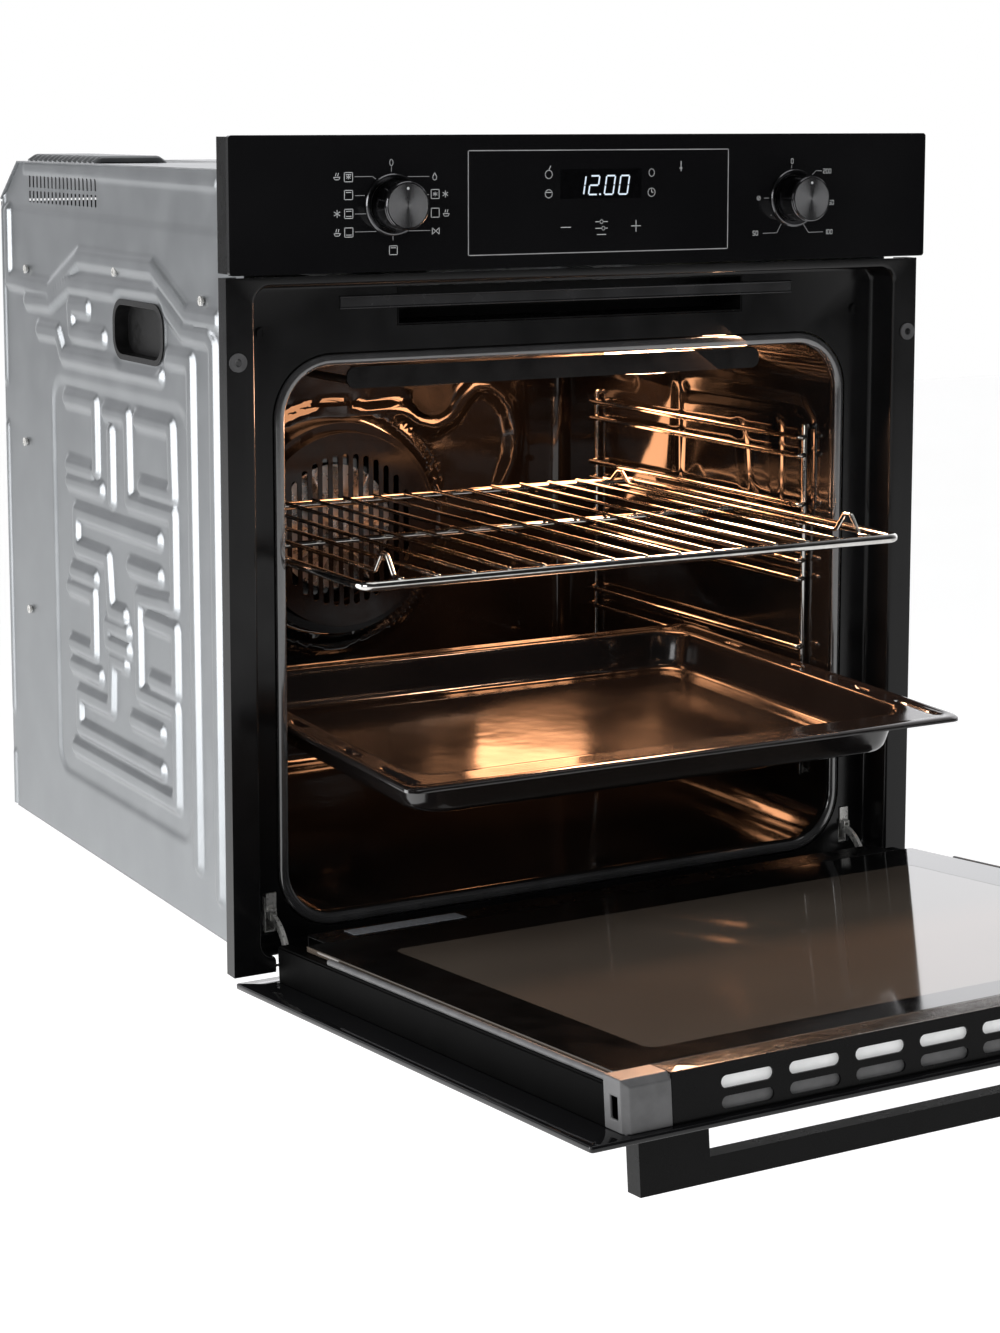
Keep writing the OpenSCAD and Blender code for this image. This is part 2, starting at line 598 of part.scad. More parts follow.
module hinge_channels() color([0.7, 0.7, 0.68]) on_door() pair() {
    y0 = glass_back_y + 0.2;
    for (x = [hinge_x - 4, hinge_x + 3]) difference() {
        along_x(x, x + 1) {
            translate([y0, 30]) square([22, 120]);
            polygon([[y0, 31], [y0, hinge_z], [hinge_y + 3, hinge_z], [hinge_y + 3, 8], [y0 + 22, 31]]);
            translate([hinge_y, hinge_z]) circle(3);
        }
        translate([0, hinge_y, hinge_z]) rod_x(x - 1, x + 2, pin_r);
    }
    block(hinge_x - 4, hinge_x + 4, y0, y0 + 1, 40, 150);
}
// A flat tab over the arm with two cheeks beside it, on a small pivot of its own
latch_y = recess_y - 4.5;
latch_z = hinge_z + arm_r + arm_band + 1.6;
module latch(side) color([0.78, 0.78, 0.76]) translate([side * hinge_x, latch_y, latch_z]) {
    block(-4, 4, 2.1, 3.1, -1, 12);
    for (s = [-1, 1]) block(s > 0 ? 1.9 : -2.6, s > 0 ? 2.6 : -1.9, -1.9, 3.1, -6.9, 1.5);
    rod_x(-2.6, 2.6, 1.2);
}
module left_hinge_latch() latch(-1);
module right_hinge_latch() latch(1);

// ---- Door ----
module door_outer_glass() color([0.02, 0.02, 0.02]) on_door() difference() {
    along_y(front_y, glass_back_y) round_rect(-half_front, half_front, door_bottom, door_top, 2.5);
    for (s = [-1, 1]) translate([s * post_x, 0, handle_z]) rod_y(front_y - 1, glass_back_y + 1, 3);
}
module door_middle_glass() color([0.4, 0.45, 0.45, 0.4]) on_door()
    block(-244, 244, inner_y - 18, inner_y - 14, 60, 440);
module door_inner_glass() color([0.05, 0.05, 0.05]) on_door()
    along_y(inner_y - glass_t, inner_y) round_rect(-264.5, 264.5, glass_low, box_top - trim_h - 0.5, 3);
module door_columns() color([0.05, 0.05, 0.05]) on_door() pair() {
    y0 = glass_back_y + 0.1;
    z1 = box_top - trim_h - 0.5;
    block(door_half - 1.5, door_half, y0, inner_y - 6, box_bottom, z1);
    block(262, door_half - 1, y0, y0 + 1.5, box_bottom, z1);
    block(262, door_half - 1, inner_y - 6, inner_y - glass_t - 0.5, box_bottom, z1);
}
module door_side_strips() color([0.36, 0.36, 0.36]) on_door() pair()
    translate([door_half - 2.6, inner_y - 2.25, 95]) cylinder(h = box_top - trim_h - 96, r = 2.2);
slot_pitch = 47.2;
module door_vent_trim() color([0.05, 0.05, 0.05]) on_door() difference() {
    y0 = glass_back_y + 0.1;
    half = 240;
    block(-half, half, y0, inner_y, box_top - trim_h, box_top);
    block(-half - 1, half + 1, y0 + 1.5, inner_y - 1.5, box_top - trim_h - 1, box_top - 1.5);
    for (i = [-4 : 4]) for (n = [11, 23]) {
        translate([i * slot_pitch, y0 + n - 4, box_top - 3]) linear_extrude(6) slot_2d(0, 0, 36, 7.5);
    }
}
module door_corner_caps() color([0.36, 0.36, 0.36]) on_door() pair() difference() {
    y0 = glass_back_y + 0.1;
    y1 = inner_y + 0.4;
    x1 = door_half + 0.5;
    z1 = box_top + 0.4;
    bevel = 4;
    along_x(240.2, x1) polygon([
        [y0, box_top - trim_h], [y1, box_top - trim_h], [y1, z1 - bevel], [y1 - bevel, z1], [y0, z1]
    ]);
    block(239, door_half - 1.5, y0 - 1, inner_y - 1.8, box_top - trim_h - 1, box_top - 2);
    block(door_half - 2, x1 + 1, y0 + 7, y0 + 20, box_top - 15, box_top - 7);
    along_y(y0 - 1, y1 + 1) polygon([[x1 - bevel, z1 + 1], [x1 + 1, z1 + 1], [x1 + 1, z1 - bevel], [x1, z1 - bevel],
                                     [x1 - bevel, z1]]);
}
module door_bottom_rail() color([0.06, 0.06, 0.06]) on_door() difference() {
    y0 = glass_back_y + 0.1;
    block(-248, 248, y0, inner_y, box_bottom, glass_low - 0.5);
    block(-250, 250, y0 + 1.5, inner_y - 1.5, box_bottom + 1.5, glass_low + 1);
}
module door_label() color([0.55, 0.56, 0.58]) on_door()
    block(-222, -132, inner_y + 0.02, inner_y + 0.32, 20, 38);
post_w = 48;
post_x = handle_w / 2 - post_w / 2;
handle_z = 452;
handle_bar = 15;
module door_handle() color([0.04, 0.04, 0.04]) on_door() difference() {
    y1 = front_y - finger_gap;
    union() {
        block(-handle_w / 2, handle_w / 2, y1 - handle_bar, y1, handle_z - 7, handle_z + 7);
        pair() block(post_x - post_w / 2, post_x + post_w / 2, y1 - 1, front_y - 0.05, handle_z - 7, handle_z + 7);
    }
    for (s = [-1, 1]) translate([s * post_x, 0, handle_z]) rod_y(front_y - 20, front_y + 1, 2);
}
module handle_screws() color([0.6, 0.6, 0.6]) on_door() for (s = [-1, 1])
    translate([s * post_x, 0, handle_z]) {
        rod_y(front_y - 18, glass_back_y + 1, 1.95);
        rod_y(glass_back_y + 0.05, glass_back_y + 3, 5);
    }

// ---- Wire shelf: two frames of wire with rods across, and bumps that stop it tipping ----
module wire_shelf() color([0.75, 0.75, 0.76]) {
    r = shelf_frame_d / 2;
    rod_r = 1.6;
    y0 = shelf_front_y;
    y1 = shelf_back_y;
    for (s = [-1, 1]) translate([s * (shelf_half - r), 0, shelf_z]) {
        rod_y(y0, y1, r);
    }
    for (y = [y0, y1]) translate([0, y, shelf_z]) rod_x(-shelf_half + r, shelf_half - r, r);
    for (s = [-1, 1], y = [y0, y1]) translate([s * (shelf_half - r), y, shelf_z]) sphere(r);
    translate([0, y0 + 196, shelf_z - 0.3]) rod_x(-shelf_half + r, shelf_half - r, 2.6);
    for (i = [1 : shelf_rods]) {
        x = -shelf_half + r + i * (2 * shelf_half - 2 * r) / (shelf_rods + 1);
        translate([x, 0, shelf_z + r - 0.3]) rod_y(y0 - 1, y1 + 1, rod_r);
    }
    // pointed stops on the outermost rods, near the front corners
    pitch = (2 * shelf_half - 2 * r) / (shelf_rods + 1);
    for (s = [-1, 1]) translate([s * (shelf_half - r - pitch), y0 + 26, shelf_z + r + 13]) {
        for (a = [-1, 1]) rotate([a * 38, 0, 0]) translate([0, 0, -17.5]) cylinder(h = 17.5, r = 2);
        sphere(2);
    }
}

// ---- Baking tray: deep pressed tray whose wide rim runs between a pair of rack wires ----
tray_front_y = -231 - tray_out;
tray_z = rack_levels[1] + rack_wire / 2 + 0.35;
module tray_place() {
    translate([0, rack_front_y, tray_z]) rotate([tray_tilt, 0, 0])
        translate([0, tray_front_y - rack_front_y, 0]) children();
}
module tray_well(inset, z0, z1) translate([0, 0, z0]) linear_extrude(z1 - z0)
    round_rect(-tray_half + inset, tray_half - inset, inset - 4, tray_depth - inset + 8, 30);
module baking_tray() color([0.07, 0.07, 0.07]) tray_place() difference() {
    well_d = 36;
    union() {
        linear_extrude(tray_sheet) round_rect(-tray_half, tray_half, 0, tray_depth, 12);
        tray_well(22, -well_d, tray_sheet - 0.05);
    }
    tray_well(22 + tray_sheet, -well_d + tray_sheet, tray_sheet + 1);
    for (s = [-1, 1], y = [34, 110, 200, 290]) translate([s * (tray_half - 10), y, -2])
        linear_extrude(6) rotate(90) slot_2d(0, 0, y == 34 ? 50 : 22, 7);
}

front_frame();
mounting_bushes();
frame_screws();
cavity_liner();
door_gasket();
gasket_clips();
left_side_panel();
right_side_panel();
base_pan();
top_panel();
rear_panel();
grip_cups();
casing_screws();
insulation_blanket();
control_panel_glass();
control_panel_bracket();
display_module();
knob_rings();
function_switch();
thermostat();
fan_cover();
ring_heater();
fan_motor();
grill_element();
grill_deflector();
bottom_element();
lamp_lens();
lamp_holder();
lamp_bulb();
left_side_rack();
right_side_rack();
air_duct();
cooling_fan_housing();
cooling_fan_motor();
terminal_block();
hinge_receivers();
hinge_arms();
door_outer_glass();
door_middle_glass();
door_inner_glass();
door_columns();
door_side_strips();
door_vent_trim();
door_bottom_rail();
door_corner_caps();
door_handle();
handle_screws();
hinge_channels();
hinge_pins();
door_label();
wire_shelf();
baking_tray();
convection_impeller();
cooling_impeller();
function_spindle();
function_knob();
temperature_spindle();
temperature_knob();
left_hinge_latch();
right_hinge_latch();
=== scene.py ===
import math
import bmesh
import bpy
import numpy as np
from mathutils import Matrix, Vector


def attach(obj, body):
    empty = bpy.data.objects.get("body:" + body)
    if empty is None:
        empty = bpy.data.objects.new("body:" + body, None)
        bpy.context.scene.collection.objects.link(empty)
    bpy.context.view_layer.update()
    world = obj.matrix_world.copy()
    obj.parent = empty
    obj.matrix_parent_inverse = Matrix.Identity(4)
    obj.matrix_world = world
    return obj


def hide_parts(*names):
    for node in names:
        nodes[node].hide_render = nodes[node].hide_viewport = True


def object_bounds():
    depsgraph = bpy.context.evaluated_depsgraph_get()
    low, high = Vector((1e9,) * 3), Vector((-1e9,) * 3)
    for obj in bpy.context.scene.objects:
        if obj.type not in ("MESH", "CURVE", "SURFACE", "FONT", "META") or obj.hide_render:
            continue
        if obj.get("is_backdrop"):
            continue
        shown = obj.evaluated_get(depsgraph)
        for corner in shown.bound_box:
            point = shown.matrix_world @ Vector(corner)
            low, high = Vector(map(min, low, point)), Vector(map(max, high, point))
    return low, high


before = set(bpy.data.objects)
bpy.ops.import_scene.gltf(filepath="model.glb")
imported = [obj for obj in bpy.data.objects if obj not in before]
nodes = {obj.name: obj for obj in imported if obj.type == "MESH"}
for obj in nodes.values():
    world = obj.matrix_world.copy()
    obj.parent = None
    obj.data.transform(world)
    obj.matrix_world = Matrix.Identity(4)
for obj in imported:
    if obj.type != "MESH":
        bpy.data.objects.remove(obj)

cad_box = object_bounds()

# ---- Studio: camera, pale floor and soft light ----
# A still camera to the left of the open door, a pale floor 720 mm below the oven,
# one large soft lamp on the left, one above, and a sky that is white behind the oven and dark in front.
scene = bpy.context.scene
camera = bpy.data.objects.new("camera", bpy.data.cameras.new("camera"))
camera.location = (-1.0393, -1.9903, 0.6000)
camera.rotation_euler = (math.radians(90 - 7.312), 0, math.radians(-29.132))
camera.data.lens = 73.167
camera.data.shift_y = -0.15
scene.collection.objects.link(camera)
scene.camera = camera
scene.view_settings.view_transform = "Standard"


def surface(name, dark, light, scale=40.0, rough=(0.3, 0.45), bump=0.0, bump_scale=400.0,
            stretch=(1, 1, 1), depth=0.0004, **fixed):
    """Shader whose colour runs from dark to light, and roughness between two values, with noise in
    Object coordinates stretched along the axes; a second, finer noise gives the bump."""
    mat = bpy.data.materials.new(name)
    mat.use_nodes = True
    tree = mat.node_tree
    shader = tree.nodes["Principled BSDF"]
    place = tree.nodes.new("ShaderNodeTexCoord")
    turn = tree.nodes.new("ShaderNodeMapping")
    turn.inputs["Scale"].default_value = stretch
    cloud = tree.nodes.new("ShaderNodeTexNoise")
    cloud.inputs["Scale"].default_value = scale
    cloud.inputs["Detail"].default_value = 5.0
    ramp = tree.nodes.new("ShaderNodeValToRGB")
    ramp.color_ramp.elements[0].position = 0.32
    ramp.color_ramp.elements[0].color = (*dark, 1)
    ramp.color_ramp.elements[1].position = 0.68
    ramp.color_ramp.elements[1].color = (*light, 1)
    spread = tree.nodes.new("ShaderNodeMapRange")
    spread.inputs["From Min"].default_value = 0.3
    spread.inputs["From Max"].default_value = 0.7
    spread.inputs["To Min"].default_value = rough[0]
    spread.inputs["To Max"].default_value = rough[1]
    tree.links.new(place.outputs["Object"], turn.inputs["Vector"])
    tree.links.new(turn.outputs["Vector"], cloud.inputs["Vector"])
    tree.links.new(cloud.outputs["Fac"], ramp.inputs["Fac"])
    tree.links.new(cloud.outputs["Fac"], spread.inputs["Value"])
    tree.links.new(ramp.outputs["Color"], shader.inputs["Base Color"])
    tree.links.new(spread.outputs["Result"], shader.inputs["Roughness"])
    if bump:
        grain = tree.nodes.new("ShaderNodeTexNoise")
        grain.inputs["Scale"].default_value = bump_scale
        grain.inputs["Detail"].default_value = 3.0
        relief = tree.nodes.new("ShaderNodeBump")
        relief.inputs["Strength"].default_value = bump
        relief.inputs["Distance"].default_value = depth
        tree.links.new(turn.outputs["Vector"], grain.inputs["Vector"])
        tree.links.new(grain.outputs["Fac"], relief.inputs["Height"])
        tree.links.new(relief.outputs["Normal"], shader.inputs["Normal"])
    for socket, value in fixed.items():
        shader.inputs[socket.replace("_", " ")].default_value = value
    return mat


def put(name, shapes, finish, body, stands_for=(), sharp=35, closed=True):
    """One piece from shapes, each an array of points in millimetres and a list of face arrays.
    Closed shells get their faces turned outwards; edges sharper than the angle stay crisp."""
    points, corners, counts, start = [], [], [], 0
    for own_points, own_faces in shapes:
        points.append(np.asarray(own_points, float).reshape(-1, 3))
        for face in own_faces:
            face = np.asarray(face, int)
            corners.append((face + start).ravel())
            counts.append(np.full(len(face), face.shape[1]))
        start += len(points[-1])
    points, corners, counts = np.concatenate(points), np.concatenate(corners), np.concatenate(counts)
    mesh = bpy.data.meshes.new(name)
    mesh.vertices.add(len(points))
    mesh.vertices.foreach_set("co", (points * 0.001).astype(np.float32).ravel())
    mesh.loops.add(len(corners))
    mesh.loops.foreach_set("vertex_index", corners.astype(np.int32))
    mesh.polygons.add(len(counts))
    mesh.polygons.foreach_set("loop_start", (np.cumsum(counts) - counts).astype(np.int32))
    mesh.update(calc_edges=True)
    mesh.validate()
    if closed:
        shell = bmesh.new()
        shell.from_mesh(mesh)
        bmesh.ops.remove_doubles(shell, verts=shell.verts, dist=1e-7)
        bmesh.ops.recalc_face_normals(shell, faces=shell.faces)
        shell.to_mesh(mesh)
        shell.free()
    mesh.polygons.foreach_set("use_smooth", np.ones(len(mesh.polygons), bool))
    mesh.set_sharp_from_angle(angle=math.radians(sharp))
    piece = bpy.data.objects.new(name, mesh)
    scene.collection.objects.link(piece)
    mesh.materials.append(finish)
    if body:
        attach(piece, body)
    if stands_for:
        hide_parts(*stands_for)
    return piece


def coat(finish, *names):
    """Gives carried-over nodes their finish."""
    for name in names:
        for held in nodes[name].material_slots:
            held.material = finish


def grid_faces(rows, columns, close_rows=False, close_columns=False):
    """Quads between neighbouring points of a grid stored row by row, joined up round either way."""
    row = np.arange(rows if close_rows else rows - 1)
    column = np.arange(columns if close_columns else columns - 1)
    row, column = np.meshgrid(row, column, indexing="ij")
    below, beside = (row + 1) % rows, (column + 1) % columns
    return np.stack([row * columns + column, row * columns + beside,
                     below * columns + beside, below * columns + column], -1).reshape(-1, 4)


floor_paint = surface("floor_paint", (0.88, 0.88, 0.88), (0.92, 0.92, 0.92), 3.0, (0.6, 0.7),
                      Emission_Color=(1, 1, 1, 1), Emission_Strength=0.4)
reach = np.linspace(-9000, 9000, 9)
across, along = np.meshgrid(reach, reach, indexing="ij")
put("floor", [(np.stack([across, along, np.full_like(across, -720.0)], -1),
                        [grid_faces(9, 9)[:, ::-1]])], floor_paint, None, closed=False)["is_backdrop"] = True

sky = bpy.data.worlds.new("sky")
scene.world = sky
sky.use_nodes = True
air = sky.node_tree
air.nodes.clear()
path = air.nodes.new("ShaderNodeLightPath")
heading = air.nodes.new("ShaderNodeTexCoord")
toward = air.nodes.new("ShaderNodeVectorMath")
toward.operation = "DOT_PRODUCT"
toward.inputs[1].default_value = (0.3, 0.4, 0.0)
half = air.nodes.new("ShaderNodeMath")
half.operation = "ADD"
half.inputs[1].default_value = 0.5
band = air.nodes.new("ShaderNodeValToRGB")
band.color_ramp.interpolation = "EASE"
while len(band.color_ramp.elements) < 4:
    band.color_ramp.elements.new(0.5)
for stop, place, level in zip(band.color_ramp.elements, (0.46, 0.62, 0.78, 0.9), (0.02, 0.15, 0.40, 1.7)):
    stop.position, stop.color = place, (level, level, level * 1.02, 1)
seen, lit, soft = (air.nodes.new("ShaderNodeBackground") for _ in range(3))
seen.inputs["Color"].default_value = (1, 1, 1, 1)
soft.inputs["Color"].default_value = (1, 1, 1, 1)
soft.inputs["Strength"].default_value = 0.6
mirror_mix, blend = air.nodes.new("ShaderNodeMixShader"), air.nodes.new("ShaderNodeMixShader")
sky_out = air.nodes.new("ShaderNodeOutputWorld")
air.links.new(heading.outputs["Generated"], toward.inputs[0])
air.links.new(toward.outputs["Value"], half.inputs[0])
air.links.new(half.outputs[0], band.inputs["Fac"])
air.links.new(band.outputs["Color"], lit.inputs["Color"])
air.links.new(path.outputs["Is Glossy Ray"], mirror_mix.inputs["Fac"])
air.links.new(soft.outputs[0], mirror_mix.inputs[1])
air.links.new(lit.outputs[0], mirror_mix.inputs[2])
air.links.new(path.outputs["Is Camera Ray"], blend.inputs["Fac"])
air.links.new(mirror_mix.outputs[0], blend.inputs[1])
air.links.new(seen.outputs[0], blend.inputs[2])
air.links.new(blend.outputs[0], sky_out.inputs["Surface"])


def lamp(name, place, aim, size, power, colour=(1, 1, 1)):
    """A soft square lamp that looks from one point to another, in metres."""
    light = bpy.data.lights.new(name, "AREA")
    light.size, light.energy, light.color = size, power, colour
    holder = bpy.data.objects.new(name, light)
    holder.location = place
    way = np.array(aim, float) - np.array(place, float)
    flat = math.hypot(way[0], way[1])
    holder.rotation_euler = (math.atan2(flat, -way[2]), 0, math.atan2(-way[0], way[1]))
    scene.collection.objects.link(holder)


lamp("key_left", (-2.9, 0.75, 0.5), (-0.28, 0, 0.3), 2.2, 72)
lamp("front_left", (-2.3, -1.4, 0.9), (0, -0.1, 0.3), 1.0, 15)
lamp("top", (0.2, -0.5, 2.6), (0, -0.2, 0.2), 1.6, 10)

# ---- Side panels of the casing ----
# Each side is one sheet of zinc-coated steel, pressed with a maze of stiffening ribs inside a
# sunk field, stepped ribs round the lifting grip and a double row of vent slots.
# On the oven it is folded inwards along the front and rear edges and screwed to the base and the top; here
# the sheet is drawn without the folds.
PANEL_X = 277.3
RIB_W, RIB_H, RIB_SLOPE = 7.0, 3.0, 6.0
MAZE = [
    [(108, 374), (42, 374), (42, 322)], [(105, 319), (52, 319)], [(105, 306), (33, 306)],
    [(20, 371), (-27, 371), (-28, 305), (-118, 305), (-118, 236), (-44, 232), (-44, 156),
     (-118, 156), (-118, 84), (102, 84)],
    [(9, 355), (9, 302)], [(-47, 371), (-116, 371), (-118, 320), (-55, 320)],
    [(-88, 282), (90, 282), (90, 253), (20, 253), (15, 212), (-14, 212)], [(-28, 254), (-88, 254)],
    [(100, 232), (50, 232)], [(108, 218), (53, 218), (53, 171), (105, 171)], [(104, 153), (42, 153)],
    [(-20, 200), (24, 200), (22, 185), (-20, 185)], [(-62, 217), (-119, 217), (-119, 171), (-70, 171)],
    [(-14, 173), (14, 173), (17, 132), (90, 131), (90, 103), (-88, 103)], [(-29, 132), (-88, 132)],
]
STEPS = [
    [(240, 522), (240, 464), (137, 461), (70, 490), (-87, 489), (-153, 458), (-207, 457)],
    [(194, 449), (140, 450), (92, 468), (11, 468), (-99, 468), (-146, 445), (-193, 444), (-201, 438),
     (-201, 34)],
    [(165, 426), (121, 426), (109, 409), (-99, 409)], [(53, 450), (90, 450), (87, 429), (18, 429)],
    [(-112, 424), (-159, 424), (-161, 48)],
]
GRIP = (-107, -9, 418, 460, 16)
zinc = surface("zinc_sheet", (0.25, 0.262, 0.274), (0.28, 0.292, 0.304), 25.0, (0.28, 0.33), 0.03, 1200.0,
               Metallic=0.85)


def fall(distance, start, slope):
    """One before start, nought after start plus slope, half a cosine between."""
    return 0.5 + 0.5 * np.cos(np.pi * np.clip((distance - start) / slope, 0, 1))


def line_distance(u, v, line):
    """Distance to the nearest point of a line of points."""
    near = np.full(u.shape, 1e9)
    for (u0, v0), (u1, v1) in zip(line, line[1:]):
        run, rise = u1 - u0, v1 - v0
        part = np.clip(((u - u0) * run + (v - v0) * rise) / (run * run + rise * rise), 0, 1)
        near = np.minimum(near, np.hypot(u - u0 - part * run, v - v0 - part * rise))
    return near


def rib_height(y, z, lines):
    """Distance to the nearest line of each rib, turned into a round-shouldered ridge."""
    height = np.zeros_like(y)
    for line in lines:
        height = np.maximum(height, fall(line_distance(y, z, line), RIB_W / 2, RIB_SLOPE))
    return height


def box_distance(u, v, u0, u1, v0, v1, r):
    """Signed distance to a rectangle with rounded corners, negative inside."""
    du = np.abs(u - (u0 + u1) / 2) - (u1 - u0) / 2 + r
    dv = np.abs(v - (v0 + v1) / 2) - (v1 - v0) / 2 + r
    return np.hypot(np.maximum(du, 0), np.maximum(dv, 0)) + np.minimum(np.maximum(du, dv), 0) - r


def snapped(u, v, field, cell):
    """Points within a cell of a field's zero line, moved along its slope onto the line."""
    step = 0.05
    value = field(u, v)
    slope_u = (field(u + step, v) - field(u - step, v)) / (2 * step)
    slope_v = (field(u, v + step) - field(u, v - step)) / (2 * step)
    near = np.abs(value) < 0.62 * cell
    return np.where(near, u - value * slope_u, u), np.where(near, v - value * slope_v, v), near


def side_sheet(side):
    """Sheet over (y, z): sideways place is the flat plane plus ribs, minus the sunk field, with the
    grip, the vent slots and the sloping rear corner cut out."""
    cell = 2.25
    slots = np.arange(34, 188, 9.0)
    y = np.unique(np.concatenate([np.arange(-255.8, 256.7, cell), [256.6], slots - 1.6, slots + 1.6]))
    z = np.unique(np.concatenate([np.arange(3, 563.6, cell), [563.6, 531, 540.5, 543.5, 553]]))
    y, z = np.meshgrid(y, z, indexing="ij")
    rows, columns = y.shape
    flat_y, flat_z = y.copy(), z.copy()
    grip = lambda u, v: box_distance(u, v, *GRIP)
    y, z, on_grip = snapped(y, z, grip, cell)
    corner = lambda u, v: ((u - 212) * 33.4 + (v - 563.6) * 44.6) / math.hypot(33.4, 44.6)
    y, z, on_corner = snapped(y, z, corner, cell)
    out = RIB_H * rib_height(y, z, MAZE + STEPS) * fall(-grip(y, z), -11, 8)
    out = out - 1.6 * fall(box_distance(y, z, -150, 140, 58, 389, 22), -6, 9)
    out = out + 1.2 * fall(np.abs(z - 556.5 - 0.012 * y), 1.5, 5) * fall(-y, 205, 4) * fall(y, 200, 4)
    out = out + 1.4 * fall(z, 519.5 + 0.013 * y, 6) - 1.4
    out = out + 0.9 * fall(grip(y, z), 1.5, 4)
    out = out + 1.6 * fall(np.abs(y - 252), 1.5, 4) * (1 - fall(np.abs(np.abs(z - 213) - 145), 14, 6))
    points = np.stack([side * (PANEL_X - 0.6 + np.minimum(out, 2.8)), y, z], -1).reshape(-1, 3)
    quads = grid_faces(rows, columns)
    mid_y, mid_z = (grid.ravel()[quads].mean(1) for grid in (flat_y, flat_z))
    inside = ((on_grip | (grip(y, z) < 0)).ravel()[quads].all(1) & (grip(mid_y, mid_z) < 0.2 * cell))
    beyond = ((on_corner | (corner(y, z) > 0)).ravel()[quads].all(1) & (corner(mid_y, mid_z) > -0.2 * cell))
    in_slot = (np.abs(mid_y[:, None] - slots).min(1) < 1.6) & (
        (np.abs(mid_z - 535.75) < 4.75) | (np.abs(mid_z - 548.25) < 4.75))
    quads = quads[~(inside | beyond | in_slot)]
    return points, [quads if side < 0 else quads[:, ::-1]]


for side, name in ((-1, "left_side"), (1, "right_side")):
    put(name, [side_sheet(side)], zinc, "root", [f"{name}_panel"], sharp=50, closed=False)

# ---- Top, back, base, grips and casing screws ----
# The top sheet carries raised vent bridges, the back is a flat sheet with a field of slots, and the
# base is a shallow pan. Grips are moulded black cups pushed in from outside; the screws are zinc-plated.
zinc_plain = surface("zinc_sheet_plain", (0.22, 0.228, 0.236), (0.28, 0.288, 0.296), 30.0, (0.36, 0.46),
                     0.05, 700.0, Metallic=0.82)
plated = surface("zinc_plating", (0.58, 0.58, 0.56), (0.72, 0.71, 0.68), 300.0, (0.22, 0.38), 0.06, 1500.0,
                 Metallic=0.6)
black_moulding = surface("black_moulding", (0.005, 0.005, 0.005), (0.009, 0.009, 0.0095), 200.0,
                         (0.35, 0.45), 0.08, 2500.0, depth=0.0001, Specular_IOR_Level=0.2)


def eased(name, finish, width=0.5, body="root", segments=2):
    """A node's own shape with its facets merged and its edges broken by a small round."""
    mesh = nodes[name].data.copy()
    mesh.name = name + "_eased"
    shell = bmesh.new()
    shell.from_mesh(mesh)
    bmesh.ops.remove_doubles(shell, verts=shell.verts, dist=2e-6)
    bmesh.ops.dissolve_limit(shell, angle_limit=math.radians(1), verts=shell.verts, edges=shell.edges)
    shell.to_mesh(mesh)
    shell.free()
    mesh.materials.clear()
    mesh.materials.append(finish)
    mesh.polygons.foreach_set("use_smooth", np.ones(len(mesh.polygons), bool))
    mesh.set_sharp_from_angle(angle=math.radians(30))
    piece = bpy.data.objects.new(name + "_eased", mesh)
    scene.collection.objects.link(piece)
    edge = piece.modifiers.new("edge", "BEVEL")
    edge.width, edge.segments, edge.limit_method = width * 0.001, segments, "ANGLE"
    edge.angle_limit = math.radians(40)
    edge.harden_normals = True
    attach(piece, body)
    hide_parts(name)
    return piece


def wire(corners, radius, bend=0.0, sides=12, loop=False):
    """Round wire along straight runs joined by round bends; open ends are gently domed."""
    corners = [np.array(spot, float) for spot in corners]
    line = []
    for k, spot in enumerate(corners):
        if bend == 0 or (not loop and k in (0, len(corners) - 1)):
            line.append(spot)
            continue
        back, on = corners[k - 1] - spot, corners[(k + 1) % len(corners)] - spot
        back_run, on_run = np.linalg.norm(back), np.linalg.norm(on)
        back, on = back / back_run, on / on_run
        wedge = math.acos(np.clip(back @ on, -1, 1))
        cut = min(bend / math.tan(wedge / 2), 0.48 * back_run, 0.48 * on_run)
        middle = spot + (back + on) / np.linalg.norm(back + on) * cut / math.cos(wedge / 2)
        first, last, sweep = spot + back * cut - middle, spot + on * cut - middle, math.pi - wedge
        for share in np.linspace(0, 1, 7):
            line.append(middle + (math.sin((1 - share) * sweep) * first + math.sin(share * sweep) * last)
                        / math.sin(sweep))
    line = np.array(line)
    ahead = np.roll(line, -1, 0) - line
    ahead /= np.maximum(np.linalg.norm(ahead, axis=1, keepdims=True), 1e-9)
    way = ahead + np.roll(ahead, 1, 0)
    if not loop:
        way[0], way[-1] = ahead[0], ahead[-2]
    way /= np.linalg.norm(way, axis=1, keepdims=True)
    size = np.full(len(line), radius)
    if not loop:
        dome = radius * np.array([[0.5, 0.03], [0.42, 0.55], [0.2, 0.88]])
        line = np.concatenate([line[0] - dome[:, :1] * way[0], line, line[-1] + dome[::-1, :1] * way[-1]])
        size = np.concatenate([dome[:, 1], size, dome[::-1, 1]])
        way = np.concatenate([np.repeat(way[:1], 3, 0), way, np.repeat(way[-1:], 3, 0)])
    normal = np.cross(way[0], (0.31, 0.74, 0.6))
    rows, angle = [], np.linspace(0, 2 * np.pi, sides, endpoint=False)[:, None]
    for spot, head, thick in zip(line, way, size):
        normal = normal - (normal @ head) * head
        normal /= np.linalg.norm(normal)
        rows.append(spot + thick * (np.cos(angle) * normal + np.sin(angle) * np.cross(head, normal)))
    faces = [grid_faces(len(rows), sides, close_rows=loop, close_columns=True)]
    if not loop:
        ring_ids = np.arange(sides)
        faces += [ring_ids[None, ::-1], ring_ids[None] + (len(rows) - 1) * sides]
    return np.concatenate(rows), faces


def block(x0, x1, y0, y1, z0, z1):
    """A plain block as one shape."""
    points = np.array([[x, y, z] for x in (x0, x1) for y in (y0, y1) for z in (z0, z1)], float)
    return points, [np.array([[0, 1, 3, 2], [4, 6, 7, 5], [0, 4, 5, 1], [2, 3, 7, 6], [0, 2, 6, 4],
                              [1, 5, 7, 3]])]


